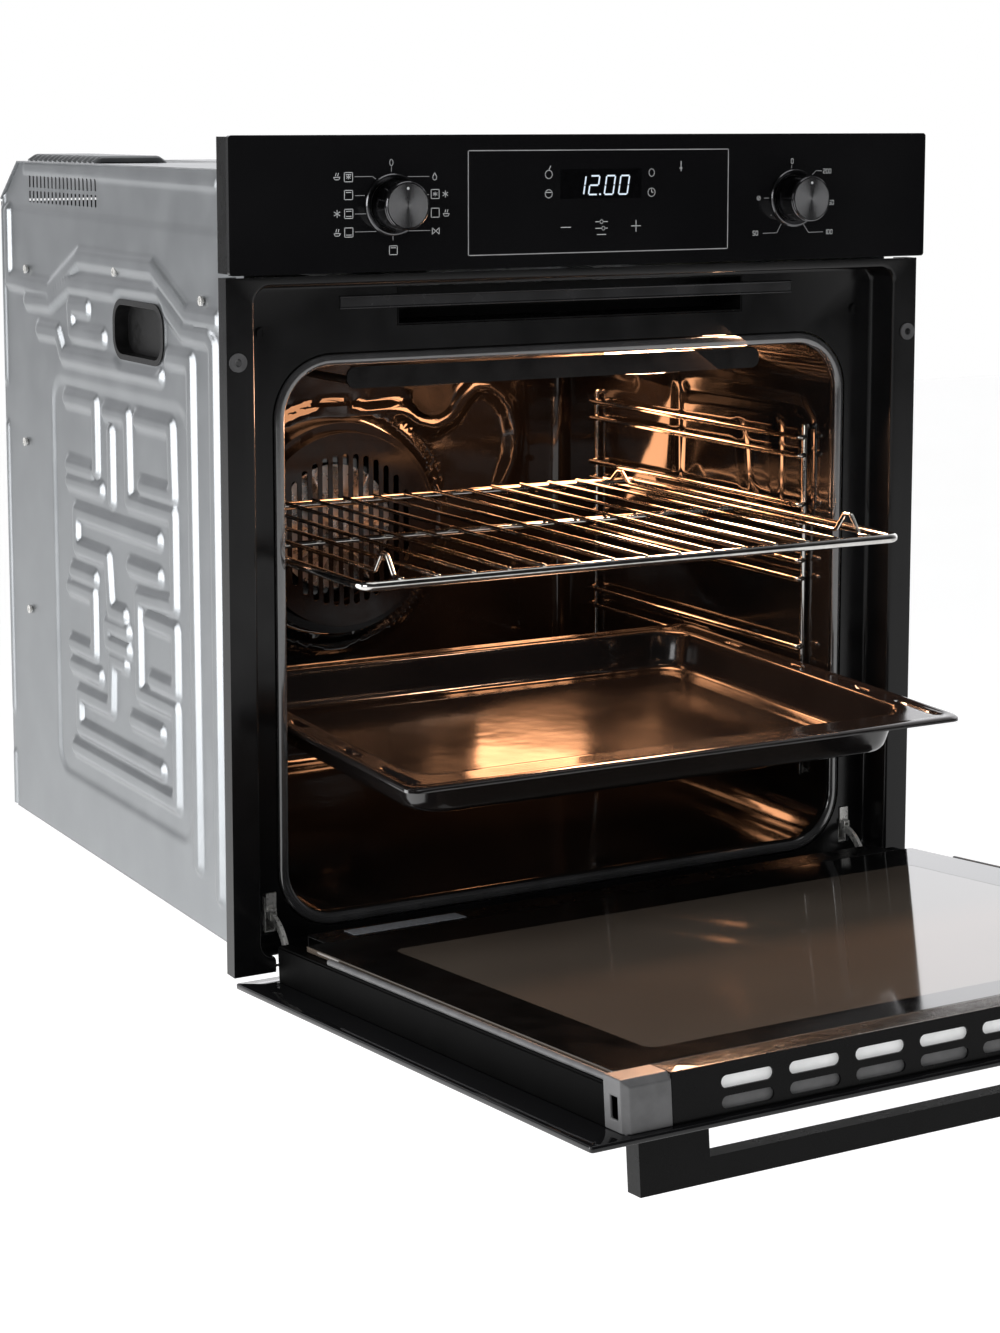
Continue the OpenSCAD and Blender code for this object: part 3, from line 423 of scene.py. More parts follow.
coat(zinc_plain, "rear_panel", "base_pan", "top_panel")
bridges = [wire([(side * 268, y, 564.2), (side * 262, y, 568), (side * 214, y, 568), (side * 208, y, 564.2)],
                2.9, 5)
           for side in (-1, 1) for y in np.arange(56, 206, 11.5)]
put("vent_bridges", bridges, zinc_plain, "root")
# Black strips laid on the top sheet between the vent bridges stand for the shade there: painted shade.
gap_shades = [block(side * 212 if side > 0 else -264, 264 if side > 0 else -212, y + 4.2, y + 7.6, 564.6, 565.15)
        for side in (-1, 1) for y in np.arange(56, 194, 11.5)]
put("vent_gap_shade", gap_shades, black_moulding, "root")
eased("grip_cups", black_moulding, 0.8)
coat(plated, "casing_screws")
coat(black_moulding, "terminal_block")

# ---- Front frame with its bushes and screws ----
# One deep-pressed sheet, painted satin charcoal, with the cavity's recess drawn into it. Plastic
# bushes guide the two fixing screws; the frame is screwed to the casing behind the gasket.
charcoal = surface("charcoal_paint", (0.003, 0.003, 0.0032), (0.005, 0.005, 0.0054), 30.0, (0.16, 0.24),
                   0.02, 1200.0, Specular_IOR_Level=0.3)
dark_grey = surface("dark_grey_moulding", (0.05, 0.05, 0.052), (0.075, 0.075, 0.078), 120.0, (0.35, 0.5),
                    0.1, 2000.0, depth=0.0001)
frame_piece = eased("front_frame", charcoal, 0.5)
shell = bmesh.new()
shell.from_mesh(frame_piece.data)
ends = np.array([[tuple(corner.co) for corner in edge.verts] for edge in shell.edges]) * 1000
hole = np.abs(box_distance(ends[..., 0], ends[..., 2], -275.2, 275.2, 4, 484, 12)).max(1) < 0.3
for depth, radius in ((-271.0, 3.0), (-242.2, 5.0)):
    bent = hole & (np.abs(ends[..., 1] - depth).max(1) < 0.05)
    bends = [edge for edge, near in zip(shell.edges, bent) if near]
    bmesh.ops.bevel(shell, geom=bends, offset=radius / 1000, segments=6, profile=0.5, affect="EDGES",
                    clamp_overlap=True)
    ends = np.array([[tuple(corner.co) for corner in edge.verts] for edge in shell.edges]) * 1000
    hole = np.abs(box_distance(ends[..., 0], ends[..., 2], -275.2, 275.2, 4, 484, 12)).max(1) < 0.3
shell.to_mesh(frame_piece.data)
shell.free()
frame_piece.data.polygons.foreach_set("use_smooth", np.ones(len(frame_piece.data.polygons), bool))
frame_piece.data.set_sharp_from_angle(angle=math.radians(35))
coat(dark_grey, "mounting_bushes")
coat(charcoal, "frame_screws")

# ---- Cavity: enamelled liner, gasket and clips ----
# The liner is deep-drawn steel under glossy black enamel: a rolled lip, pressed panels on both side
# walls, a wave and a ring pressed into the back. The gasket is a silicone tube hooked in at the corners.
CAVITY_X, FLOOR_Z, ROOF_Z, MOUTH_R, FAN_Z = 240.0, 22.0, 424.0, 37.0, 238.0
WAVE = [(-46, 326), (-20, 334), (1, 335), (40, 337), (64, 338), (76, 335), (88, 326), (106, 321), (124, 329),
        (136, 346), (148, 357), (162, 356), (175, 346), (184, 334), (190, 312), (187, 286), (176, 262)]
WALL_RIBS = [[(-27, 366), (-120, 369), (-197, 367), (-209, 357), (-210, 287)],
             [(-108, 342), (-115, 329), (-117, 298), (-131, 287)], [(-12, 366), (-12, 285)],
             [(-164, 350), (-164, 288)], [(60, 366), (150, 366)], [(-190, 262), (-40, 262)],
             [(-190, 120), (110, 120)]]
enamel = surface("black_enamel", (0.0045, 0.004, 0.004), (0.008, 0.007, 0.0065), 14.0, (0.06, 0.12), 0.3,
                 9.0, depth=0.004, Specular_IOR_Level=0.8)
silicone = surface("silicone", (0.030, 0.030, 0.031), (0.045, 0.045, 0.047), 60.0, (0.2, 0.26), 0.02, 900.0,
                   Coat_Weight=1.0, Coat_Roughness=0.12, Coat_IOR=2.0)


def ring(x0, x1, v0, v1, r, long_side=75, short_side=61, turn=12):
    """Points round a rounded rectangle, always the same number, from the low end of its low side."""
    s, t = np.linspace(0, 1, long_side, endpoint=False), np.linspace(0, 1, short_side, endpoint=False)
    sine, cosine = (f(np.linspace(0, np.pi / 2, turn, endpoint=False)) for f in (np.sin, np.cos))
    width, height = x1 - x0 - 2 * r, v1 - v0 - 2 * r
    u = np.concatenate([x0 + r + width * s, x1 - r + r * sine, np.full_like(t, x1), x1 - r + r * cosine,
                        x1 - r - width * s, x0 + r - r * sine, np.full_like(t, x0), x0 + r - r * cosine])
    v = np.concatenate([np.full_like(s, v0), v0 + r - r * cosine, v0 + r + height * t, v1 - r + r * sine,
                        np.full_like(s, v1), v1 - r + r * cosine, v1 - r - height * t, v0 + r - r * sine])
    return u, v


def mouth_ring(grow, y):
    """The mouth's outline, grown or shrunk, at one depth."""
    x, z = ring(-CAVITY_X - grow, CAVITY_X + grow, FLOOR_Z - grow, ROOF_Z + grow, max(MOUTH_R + grow, 0.0))
    return np.stack([x, np.full_like(x, y), z], -1)


corner = np.linspace(0, np.pi / 2, 7)
path_rows = [(-201, 190.4), (-60, 190.4), (2.4, 190.4), (2.4, -238.4), (9.4, -238.5), (9.7, -239.1),
             (9.4, -239.6), (6, -239.7), (2.2, -239.6), (0.7, -239.1), (0, -237.8)]
path_rows += [(0.0, y) for y in np.arange(-235, 175, 5.2)]
path_rows += [(-12 * (1 - math.cos(a)), 176 + 12 * math.sin(a)) for a in corner]
path_rows += [(grow, 188.0) for grow in np.linspace(-15.8, -201, 48)]
shell = np.stack([mouth_ring(grow, y) for grow, y in path_rows])
x, y, z = shell[..., 0], shell[..., 1], shell[..., 2]
inner = (np.arange(len(path_rows)) > 10)[:, None]
side_wall = inner & (np.abs(x) > CAVITY_X - 0.5) & (y < 170)
pressed = np.max([fall(line_distance(y, z, line), 2.5, 5) for line in WALL_RIBS], 0)
shell[..., 0] += np.where(side_wall, np.sign(x) * 2.0 * pressed, 0)
back_wall = inner & (y > 187.5)
wave = fall(line_distance(x, z, WAVE), 3, 8) + fall(np.abs(np.hypot(x - 2, z - FAN_Z + 3) - 108), 2.5, 5)
shell[..., 1] -= np.where(back_wall, 4.5 * np.minimum(wave, 1), 0)
put("liner_pressing", [(shell, [grid_faces(*shell.shape[:2], close_columns=True)])], enamel, "root",
    ["cavity_liner"], sharp=40)
turn = np.linspace(0, 2 * np.pi, 16, endpoint=False)
tube = np.stack([mouth_ring(4.6 + 4.0 * math.cos(a), -241.8 - 2.1 * math.sin(a)) for a in turn])
put("gasket_tube", [(tube, [grid_faces(*tube.shape[:2], close_rows=True, close_columns=True)])], silicone,
    "root", ["door_gasket"])
coat(plated, "gasket_clips")

# ---- Fan, heaters and lamp ----
# A pressed guard over the turning fan, bare heater tubes with a dull oxide skin, an enamelled
# deflector in front of the grill and a smoked glass lens over the lamp.
chrome = surface("chrome_wire", (0.5, 0.49, 0.475), (0.66, 0.65, 0.63), 120.0, (0.08, 0.16), 0.03, 900.0,
                 Metallic=1.0)
heater_skin = surface("heater_skin", (0.06, 0.052, 0.046), (0.11, 0.098, 0.088), 90.0, (0.32, 0.45), 0.1,
                      700.0, Metallic=0.7)
guard_black = surface("guard_enamel", (0.004, 0.0035, 0.0035), (0.007, 0.006, 0.006), 60.0, (0.14, 0.22),
                      0.03, 500.0, Specular_IOR_Level=0.3)
eased("fan_cover", guard_black, 0.9, segments=3)
angle = np.linspace(0, 2 * np.pi, 73)[:-1]
put("guard_rim", [wire(np.stack([97.5 * np.cos(angle), np.full(72, 186.2), 238 + 97.5 * np.sin(angle)], -1),
                       1.6, loop=True)], chrome, "root")
coat(guard_black, "grill_deflector")
coat(heater_skin, "ring_heater", "grill_element", "bottom_element")
bright_steel = surface("bright_steel", (0.62, 0.61, 0.6), (0.76, 0.75, 0.73), 80.0, (0.22, 0.34), 0.05,
                       600.0, Metallic=0.8)
coat(bright_steel, "convection_impeller")
porcelain = surface("porcelain", (0.68, 0.66, 0.6), (0.76, 0.74, 0.7), 50.0, (0.3, 0.4), 0.05, 400.0)
lens_glass = surface("lens_glass", (0.02, 0.018, 0.016), (0.05, 0.045, 0.04), 60.0, (0.05, 0.1), 0.2, 160.0,
                     Transmission_Weight=0.3)
bulb_glass = surface("bulb_glass", (0.8, 0.76, 0.68), (0.95, 0.92, 0.86), 60.0, (0.06, 0.14), 0.1, 160.0,
                     Transmission_Weight=0.85)
coat(porcelain, "lamp_holder", "function_switch")
coat(lens_glass, "lamp_lens")
coat(bulb_glass, "lamp_bulb")
lamp("oven_lamp", (0.185, 0.02, 0.400), (0.10, 0.03, 0.25), 0.13, 1.15, (1.0, 0.44, 0.20))
lamp("oven_lamp_rear", (0.02, 0.08, 0.405), (0.0, 0.14, 0.3), 0.12, 0.45, (1.0, 0.44, 0.20))
lamp("oven_lamp_low", (0.17, 0.12, 0.30), (-0.1, -0.2, 0.12), 0.10, 0.3, (1.0, 0.44, 0.20))

# ---- Side racks ----
# Drawn steel wire, spot welded and chrome plated: two upright posts a side, hooked into the wall, and
# five pairs of runners that carry shelf and tray.
RACK_WIRE, POST_X, RUNNER_X, POSTS_Y = 2.3, 236.5, 229.0, (-208.0, 117.0)
for side, name in ((-1, "left_side_rack"), (1, "right_side_rack")):
    wires = [wire([(side * 239.9, y, 352), (side * POST_X, y, 356), (side * POST_X, y, 64),
                   (side * 239.9, y, 70)], RACK_WIRE, 3) for y in POSTS_Y]
    wires += [wire([(side * POST_X, POSTS_Y[0], z), (side * RUNNER_X, POSTS_Y[0] - 5, z),
                    (side * RUNNER_X, POSTS_Y[1], z), (side * POST_X, POSTS_Y[1], z)], RACK_WIRE, 5)
              for level in (95, 158, 229, 275, 330) for z in (level, level + 15)]
    put(name + "_wires", wires, chrome, "root", [name])

# ---- Wire shelf ----
# A frame of thick wire, a thinner cross wire and fifteen rods welded over them; the outermost rods
# are kinked up into stops near the corners.
SHELF_X, SHELF_Y, SHELF_Z, FRAME_R = 228.0, (-343.5, 41.5), 281.2, 3.5
wires = [wire([(-SHELF_X, SHELF_Y[0], SHELF_Z), (SHELF_X, SHELF_Y[0], SHELF_Z),
               (SHELF_X, SHELF_Y[1], SHELF_Z), (-SHELF_X, SHELF_Y[1], SHELF_Z)], FRAME_R, 9, 16, loop=True),
         wire([(-SHELF_X, -147.5, SHELF_Z - 0.3), (SHELF_X, -147.5, SHELF_Z - 0.3)], 2.6)]
for k in range(1, 16):
    x = -SHELF_X + k * 2 * SHELF_X / 16
    top = SHELF_Z + FRAME_R - 0.3
    if k in (1, 15):
        front, back = SHELF_Y[0] + 26, SHELF_Y[1] - 26
        run = [(x, SHELF_Y[0] - 1, top), (x, front - 15, top), (x, front - 4, top + 14),
               (x, front + 4, top + 14), (x, front + 15, top), (x, back - 15, top), (x, back - 4, top + 9),
               (x, back + 4, top + 9), (x, back + 15, top), (x, SHELF_Y[1] + 1, top)]
        wires.append(wire(run, 1.7, 4))
    else:
        wires.append(wire([(x, SHELF_Y[0] - 1, top), (x, SHELF_Y[1] + 1, top)], 1.6))
put("shelf_wires", wires, chrome, "shelf", ["wire_shelf"])

# ---- Baking tray ----
# One sheet of steel under black enamel: a beaded edge, a wide rim with pressed slots, a broad lip in
# front, sloping walls and a flat floor inside a shallow step.
TRAY_X, TRAY_DEEP, TRAY_TILT = 233.4, 377.0, math.radians(1.5)
RIM = [(0.0, -2.2, 10), (0.2, -0.4, 10), (1.4, 0.8, 10.5), (3.2, 1.1, 11), (4.8, 0.6, 12), (6.4, 0.0, 13)]
RIM += [(inset, 0.0, 13 + inset * 0.6) for inset in np.arange(8, 20.1, 1.5)]
RIM += [(21.6, -0.3, 26), (22.8, -1.6, 26.5), (23.6, -4, 27), (25.6, -13, 27), (27.6, -22, 27),
        (28.8, -26.5, 26.5), (30.8, -29.4, 26), (33.6, -30.8, 25), (37, -31.2, 24), (42, -31.2, 22),
        (46, -31.0, 20), (49, -30.2, 18), (53, -29.6, 15), (58, -29.6, 12)]


def tray_row(inset, drop, r):
    """Outline of the tray at one inset from the side edges; the front lip is half as wide again."""
    front = inset * 1.55 if inset < 22 else 34.1 + (inset - 22)
    back = inset * 0.64 if inset < 22 else inset - 7.9
    x, y = ring(-TRAY_X + inset, TRAY_X - inset, front, TRAY_DEEP - back, r, 100, 84, 12)
    slots = np.full_like(x, 1e9)
    for along, half_long in ((40, 24), (112, 11), (202, 11), (292, 11)):
        slots = np.minimum(slots, box_distance(np.abs(x), y, TRAY_X - 15.5, TRAY_X - 8.5, along - half_long,
                                               along + half_long, 3.4))
    z = np.full_like(x, drop) - 3.2 * fall(slots, -2.2, 1.8)
    return np.stack([x, y, z], -1)


top_rows = [tray_row(*row) for row in RIM]
last = top_rows[-1]
hub = np.stack([np.clip(last[:, 0], -40, 40), np.full(len(last), TRAY_DEEP / 2 + 8),
                np.full(len(last), -29.9)], -1)
top_rows += [last + (hub - last) * share for share in np.linspace(0.08, 1, 14)]
top_rows = np.stack(top_rows)
low_rows = top_rows[::-1].copy()
low_rows[..., 2] -= 1.2
low_rows[-1, :, 2] += 0.9
tray = np.concatenate([top_rows[::-1], low_rows[::-1]])
y, z = tray[..., 1] - 213.0, tray[..., 2]
tray = np.stack([tray[..., 0], -208 + y * math.cos(TRAY_TILT) - z * math.sin(TRAY_TILT),
                 160.65 + y * math.sin(TRAY_TILT) + z * math.cos(TRAY_TILT)], -1)
tray_enamel = surface("tray_enamel", (0.006, 0.005, 0.005), (0.011, 0.0095, 0.009), 9.0, (0.08, 0.2), 0.25,
                      12.0, depth=0.003, Specular_IOR_Level=0.8)
put("tray_pressing", [(tray, [grid_faces(*tray.shape[:2], close_columns=True)])], tray_enamel, "tray",
    ["baking_tray"], sharp=45)

# ---- Blower, duct, insulation and motors ----
# Inside the casing: a pressed blower on the insulation, its duct to the slot over the door, a blanket
# of mineral wool and the motors; seen only through the vents.
wool = surface("mineral_wool", (0.5, 0.45, 0.33), (0.72, 0.67, 0.52), 120.0, (0.85, 0.95), 0.6, 260.0,
               depth=0.003)
coat(wool, "insulation_blanket")
coat(zinc_plain, "cooling_fan_housing")
vane_black = surface("vane_black", (0.02, 0.02, 0.021), (0.03, 0.03, 0.032), 30.0, (0.2, 0.3), 0.02, 900.0,
                     Metallic=0.3)
# A black block inside the duct behind the slot over the door stands for the shade in the duct: painted
# shade.
put("duct_shade_block", [block(-148.6, 148.6, -200, -198.8, 453.4, 478.6)], black_moulding, "root")
put("outlet_lip", [wire([(-196, -242.9, z), (196, -242.9, z)], 0.9) for z in (465.5, 473.5)]
    + [block(-196, 196, -243.0, -242.4, 465.5, 473.5)], vane_black, "root")
coat(plated, "fan_motor", "cooling_fan_motor", "cooling_impeller", "thermostat", "function_spindle",
     "temperature_spindle")

# ---- Control panel ----
# A plate of glass printed black behind, glued to a folded bracket; the marks are thin white ink, the
# clock glows through a clear window.
FRONT_Y = -279.0
black_glass = surface("black_glass", (0.004, 0.004, 0.0045), (0.006, 0.006, 0.0065), 9.0, (0.03, 0.07),
                      Specular_IOR_Level=0.4)
black_paint = surface("black_paint", (0.002, 0.002, 0.002), (0.0035, 0.0035, 0.0037), 60.0, (0.24, 0.32),
                      0.02, 1500.0, Specular_IOR_Level=0.12)
coat(black_glass, "control_panel_glass")
# The air duct takes the black paint so that its inside looks dark through the slot over the door: painted
# shade.
coat(black_paint, "control_panel_bracket", "display_module", "air_duct")
white_ink = surface("white_ink", (0.46, 0.47, 0.48), (0.56, 0.57, 0.58), 900.0, (0.5, 0.65))
silver_ink = surface("silver_ink", (0.26, 0.26, 0.27), (0.36, 0.36, 0.37), 60.0, (0.4, 0.5))
clock_glow = surface("clock_glow", (0.5, 0.56, 0.62), (0.6, 0.66, 0.72), 700.0, (0.4, 0.5),
                     Emission_Color=(0.72, 0.86, 1.0, 1), Emission_Strength=0.45)
window_black = surface("window_black", (0.0008, 0.0008, 0.001), (0.0014, 0.0014, 0.0018), 200.0,
                       (0.08, 0.12))


def ink(name, strokes, width, finish, lift=0.06):
    """Flat raised marks on the glass: every stroke is a line of (x, z) points, one bar per step."""
    ends = np.array([(*p, *q) for line in strokes for p, q in zip(line, line[1:])], float)
    p, q = ends[:, :2], ends[:, 2:]
    way = (q - p) / np.linalg.norm(q - p, axis=1, keepdims=True) * width / 2
    side = way[:, ::-1] * (-1, 1)
    outline = np.stack([p - way - side, q + way - side, q + way + side, p - way + side], 1)
    points = np.empty((len(ends), 2, 4, 3))
    points[..., 0], points[..., 2] = outline[:, None, :, 0], outline[:, None, :, 1]
    points[:, 0, :, 1], points[:, 1, :, 1] = FRONT_Y - lift, FRONT_Y - 0.01
    bar = np.array([[0, 1, 2, 3], [7, 6, 5, 4], [0, 4, 5, 1], [1, 5, 6, 2], [2, 6, 7, 3], [3, 7, 4, 0]])
    faces = (bar[None] + 8 * np.arange(len(ends))[:, None, None]).reshape(-1, 4)
    return put(name, [(points, [faces])], finish, "root")


def placed(strokes, x, z, size, lean=0.0):
    """Strokes drawn in a unit square, moved to a place and size."""
    return [[(x + size * (u + lean * v), z + size * v) for u, v in line] for line in strokes]


def loop_of(count, radius=0.5, squash=1.0, u=0.0, v=0.0):
    """A ring of points as one closed stroke."""
    angles = np.linspace(0, 2 * np.pi, count + 1)
    return [(u + radius * math.cos(a) * squash, v + radius * math.sin(a)) for a in angles]


SQUARE = [[(-0.5, -0.5), (0.5, -0.5), (0.5, 0.5), (-0.5, 0.5), (-0.5, -0.5)]]
HIGH_BAR, LOW_BAR = [[(-0.3, 0.28), (0.3, 0.28)]], [[(-0.3, -0.28), (0.3, -0.28)]]
FAN_MARK = [[(-0.24, -0.12), (0.24, 0.12)], [(-0.24, 0.12), (0.24, -0.12)], [(0, -0.2), (0, 0.2)]]
STAR = [[(0, -0.5), (0, 0.5)], [(-0.43, -0.25), (0.43, 0.25)], [(-0.43, 0.25), (0.43, -0.25)]]
DROP = [[(0, 0.6), (-0.34, -0.05), (-0.28, -0.42), (0, -0.55), (0.28, -0.42), (0.34, -0.05), (0, 0.6)]]
DISH = [[(-0.5, -0.1), (-0.3, -0.45), (0.3, -0.45), (0.5, -0.1), (-0.5, -0.1)], [(-0.2, 0.1), (-0.1, 0.45)],
        [(0.15, 0.1), (0.25, 0.45)]]
SEGMENTS = {"a": ((0, 1), (0.55, 1)), "b": ((0.55, 1), (0.55, 0.5)), "c": ((0.55, 0.5), (0.55, 0)),
            "d": ((0, 0), (0.55, 0)), "e": ((0, 0.5), (0, 0)), "f": ((0, 1), (0, 0.5)),
            "g": ((0, 0.5), (0.55, 0.5))}
DIGITS = {"0": "abcdef", "1": "bc", "2": "abged", "5": "afgcd"}


def number(figures, x, z, height, pitch=0.85, lean=0.0, gap=0.0):
    """Seven-stroke figures standing on one line, from the left."""
    strokes = []
    for k, figure in enumerate(figures):
        for part in DIGITS[figure]:
            (u0, v0), (u1, v1) = SEGMENTS[part]
            du, dv = (gap if u1 > u0 else 0), (gap if v1 < v0 else 0)
            strokes += placed([[(u0 + du + k * pitch, v0 - dv), (u1 - du + k * pitch, v1 + dv)]], x, z,
                              height, lean)
    return strokes


marks = []
for z, mark in ((559.7, SQUARE + HIGH_BAR + FAN_MARK), (547.3, SQUARE + HIGH_BAR),
                (534.2, SQUARE + HIGH_BAR + LOW_BAR), (521.2, SQUARE + LOW_BAR)):
    marks += placed(mark, -206.6, z, 6.4)
marks += placed(DISH, -215.6, 560.2, 5) + placed(STAR, -215.6, 534.3, 5) + placed(DISH, -215.6, 521.1, 5)
marks += placed(DROP, -138.6, 559.5, 4.6) + placed(SQUARE + FAN_MARK, -138.3, 547.1, 6.4)
marks += placed(STAR, -130.1, 547, 4.4)
marks += placed(SQUARE, -138.3, 533.9, 6.4) + placed(DISH, -129.4, 533.6, 5)
marks += placed([[(-0.5, -0.4), (0.5, 0.4), (0.5, -0.4), (-0.5, 0.4), (-0.5, -0.4)]], -137.9, 520.9, 5.6)
marks += placed(SQUARE + HIGH_BAR, -171.8, 508, 6.2) + [loop_of(10, 2.2, 0.6, -173, 569.6)]
marks += number("0", 169.2, 566.4, 3.4) + [loop_of(8, 1.6, 1, 139.6, 540.3)]
marks += [[(138.4, 539.1), (140.8, 541.5)]]
for figures, x, z in (("50", 134.6, 512.2), ("100", 201.4, 511.9), ("150", 202.4, 534.4),
                      ("200", 199.4, 558.6)):
    marks += number(figures, x, z, 3.2)
ink("dial_marks", marks, 0.5, white_ink)
leads = [[(-201.6, 560), (-188, 560), (-185.4, 558.4)], [(-201.6, 546.8), (-194.2, 546.8)],
         [(-201.6, 534), (-193.3, 534)], [(-201.6, 521.5), (-185.3, 521.5)],
         [(-160, 559.6), (-143.2, 559.6)], [(-145.4, 546.8), (-143.4, 546.8)],
         [(-162, 521.4), (-142.6, 521.4)], [(-173, 567), (-173, 563.4)], [(-172, 518.2), (-172, 515.2)],
         [(169.8, 565), (169.6, 562.8)], [(144.6, 540.2), (148.9, 540.2)], [(151, 527.2), (151.4, 527.2)],
         [(144.1, 513.5), (156.6, 513.7), (160.6, 520.2)], [(181.3, 519.8), (186.2, 513.4), (199.6, 513.6)],
         [(189.2, 557.7), (192.6, 560.6), (198, 560.4)]]
ink("dial_leads", leads, 0.42, silver_ink)
ink("display_outline", [[(-111.5, 502.8), (111.5, 502.8), (111.5, 577.5), (-111.5, 577.5), (-111.5, 502.8)]],
    0.7, silver_ink, 0.05)
ink("display_window", [[(-24.4, 552.9), (23.6, 552.9)]], 21.6, window_black, 0.03)
ink("clock_digits", number("12", -23.0, 545, 13.6, 0.86, 0.16, 0.07)
    + number("00", 2.2, 545, 13.6, 0.9, 0.16, 0.07)
    + [[(-1.6, 545.1), (-1.2, 545.1)]], 1.15, clock_glow, 0.08)
keys = [[(-34.4, 521.4), (-26.4, 521.4)], [(26.0, 521.4), (33.8, 521.4)], [(29.9, 517.4), (29.9, 525.4)],
        [(-5, 525), (-1.4, 525)], [(1.4, 525), (5, 525)], [(-5, 520.2), (0.2, 520.2)],
        [(3.0, 520.2), (5, 520.2)], loop_of(8, 1.4, 1, 0, 525), loop_of(8, 1.4, 1, 1.6, 520.2),
        [(-3.6, 515.6), (3.6, 515.6)]]
keys += [loop_of(12, 3.0, 1, -45, 560), [(-45, 563), (-43.5, 566)], loop_of(12, 3.0, 1, -45, 546),
         [(-47, 547), (-43, 547)], loop_of(12, 2.8, 0.85, 43.3, 560.5), loop_of(14, 3.1, 1, 43.3, 546),
         [(43.3, 546), (43.3, 548)], [(43.3, 546), (44.6, 546)], [(69.2, 561.6), (69.2, 568.6)],
         [(68.0, 563.6), (70.2, 563.6)]]
ink("key_marks", keys, 0.55, white_ink)

# ---- Knobs ----
# Turned and dark-plated, with a groove behind the face, a face spun in fine rings and a small dot;
# each sits in a plated ring let into the glass.
KNOB_Z, KNOB_R, KNOB_Y = 540.0, 17.25, -303.0
knob_side = surface("dark_plating", (0.10, 0.10, 0.105), (0.15, 0.15, 0.155), 60.0, (0.14, 0.22), 0.03,
                    900.0, Metallic=1.0)
spun_face = surface("spun_face", (0.36, 0.36, 0.37), (0.38, 0.38, 0.39), 300.0, (0.2, 0.22), Metallic=1.0,
                    Anisotropic=0.97)
tree = spun_face.node_tree
spin, into_world = tree.nodes.new("ShaderNodeAttribute"), tree.nodes.new("ShaderNodeVectorTransform")
spin.attribute_name = "spin"
into_world.vector_type, into_world.convert_from, into_world.convert_to = "VECTOR", "OBJECT", "WORLD"
tree.links.new(spin.outputs["Vector"], into_world.inputs[0])
tree.links.new(into_world.outputs[0], tree.nodes["Principled BSDF"].inputs["Tangent"])


def turned(profile, x, z, segments=96):
    """Shell turned about a line along Y from (radius, y) pairs; rows at radius nought close it."""
    r, y = np.array(profile, float).T
    angle = np.linspace(0, 2 * np.pi, segments, endpoint=False)
    points = np.stack([x + r[:, None] * np.cos(angle), np.repeat(y[:, None], segments, 1),
                       z + r[:, None] * np.sin(angle)], -1)
    return points, [grid_faces(len(r), segments, close_columns=True)]


for x, name, body in ((-172.0, "function", "function_knob"), (172.0, "temperature", "temperature_knob")):
    side_line = [(0, -279.2), (16.6, -279.2), (KNOB_R, -279.8), (KNOB_R, KNOB_Y + 2.6),
                 (KNOB_R - 0.7, KNOB_Y + 2.2), (KNOB_R - 0.7, KNOB_Y + 1.7), (KNOB_R - 0.1, KNOB_Y + 1.3),
                 (KNOB_R - 0.3, KNOB_Y + 0.6), (KNOB_R - 0.9, KNOB_Y + 0.1), (KNOB_R - 1.4, KNOB_Y + 0.1),
                 (KNOB_R - 1.7, KNOB_Y + 0.6), (0, KNOB_Y + 0.6)]
    put(name + "_knob_body", [turned(side_line, x, KNOB_Z)], knob_side, body, [name + "_knob"],
        sharp=28)
    face_line = [(0, KNOB_Y + 0.5), (KNOB_R - 1.75, KNOB_Y + 0.5), (KNOB_R - 1.75, KNOB_Y + 0.2),
                 (12, KNOB_Y + 0.2), (8, KNOB_Y + 0.2), (4, KNOB_Y + 0.2), (1, KNOB_Y + 0.2),
                 (0, KNOB_Y + 0.2)]
    face = put(name + "_knob_face", [turned(face_line, x, KNOB_Z)], spun_face, body,
               sharp=28)
    place = np.empty(len(face.data.vertices) * 3, np.float32)
    face.data.vertices.foreach_get("co", place)
    place = place.reshape(-1, 3)
    along = np.stack([-(place[:, 2] - KNOB_Z / 1000), np.zeros(len(place)), place[:, 0] - x / 1000], -1)
    along /= np.maximum(np.linalg.norm(along, axis=1, keepdims=True), 1e-6)
    face.data.attributes.new("spin", "FLOAT_VECTOR", "POINT").data.foreach_set("vector", along.ravel())
    put(name + "_knob_dot", [turned([(0, KNOB_Y + 0.3), (1.0, KNOB_Y + 0.3), (1.0, KNOB_Y),
                                     (0.7, KNOB_Y - 0.2), (0, KNOB_Y - 0.25)], x, KNOB_Z + 12, 24)],
        white_ink, body)
ring_line = [(17.6, -255), (18.8, -255), (18.8, -279.01), (21.7, -279.01), (22, -279.4), (21.9, -280.8),
             (21.2, -281.5), (20.4, -281.6), (19.6, -281.2), (18.6, -280.4), (17.7, -280), (17.6, -279),
             (17.6, -255)]
put("knob_ring_pair", [turned(ring_line, x, KNOB_Z) for x in (-172.0, 172.0)], knob_side, "root",
    ["knob_rings"], sharp=28)

# ---- Door: glass ----
# Three panes: black-printed outer plate, clear middle pane, and a coated inner pane with a printed
# border round its window. Shapes are drawn shut and swung open with the door.
HINGE_Y, HINGE_Z, OPEN = -271.8, -5.5, math.radians(84.6)


def opened(shape):
    """A shape drawn with the door shut, turned about the hinge to where the door stands."""
    points, faces = shape
    points = np.asarray(points, float).reshape(-1, 3)
    y, z = points[:, 1] - HINGE_Y, points[:, 2] - HINGE_Z
    return np.stack([points[:, 0], HINGE_Y + y * math.cos(OPEN) - z * math.sin(OPEN),
                     HINGE_Z + y * math.sin(OPEN) + z * math.cos(OPEN)], -1), faces


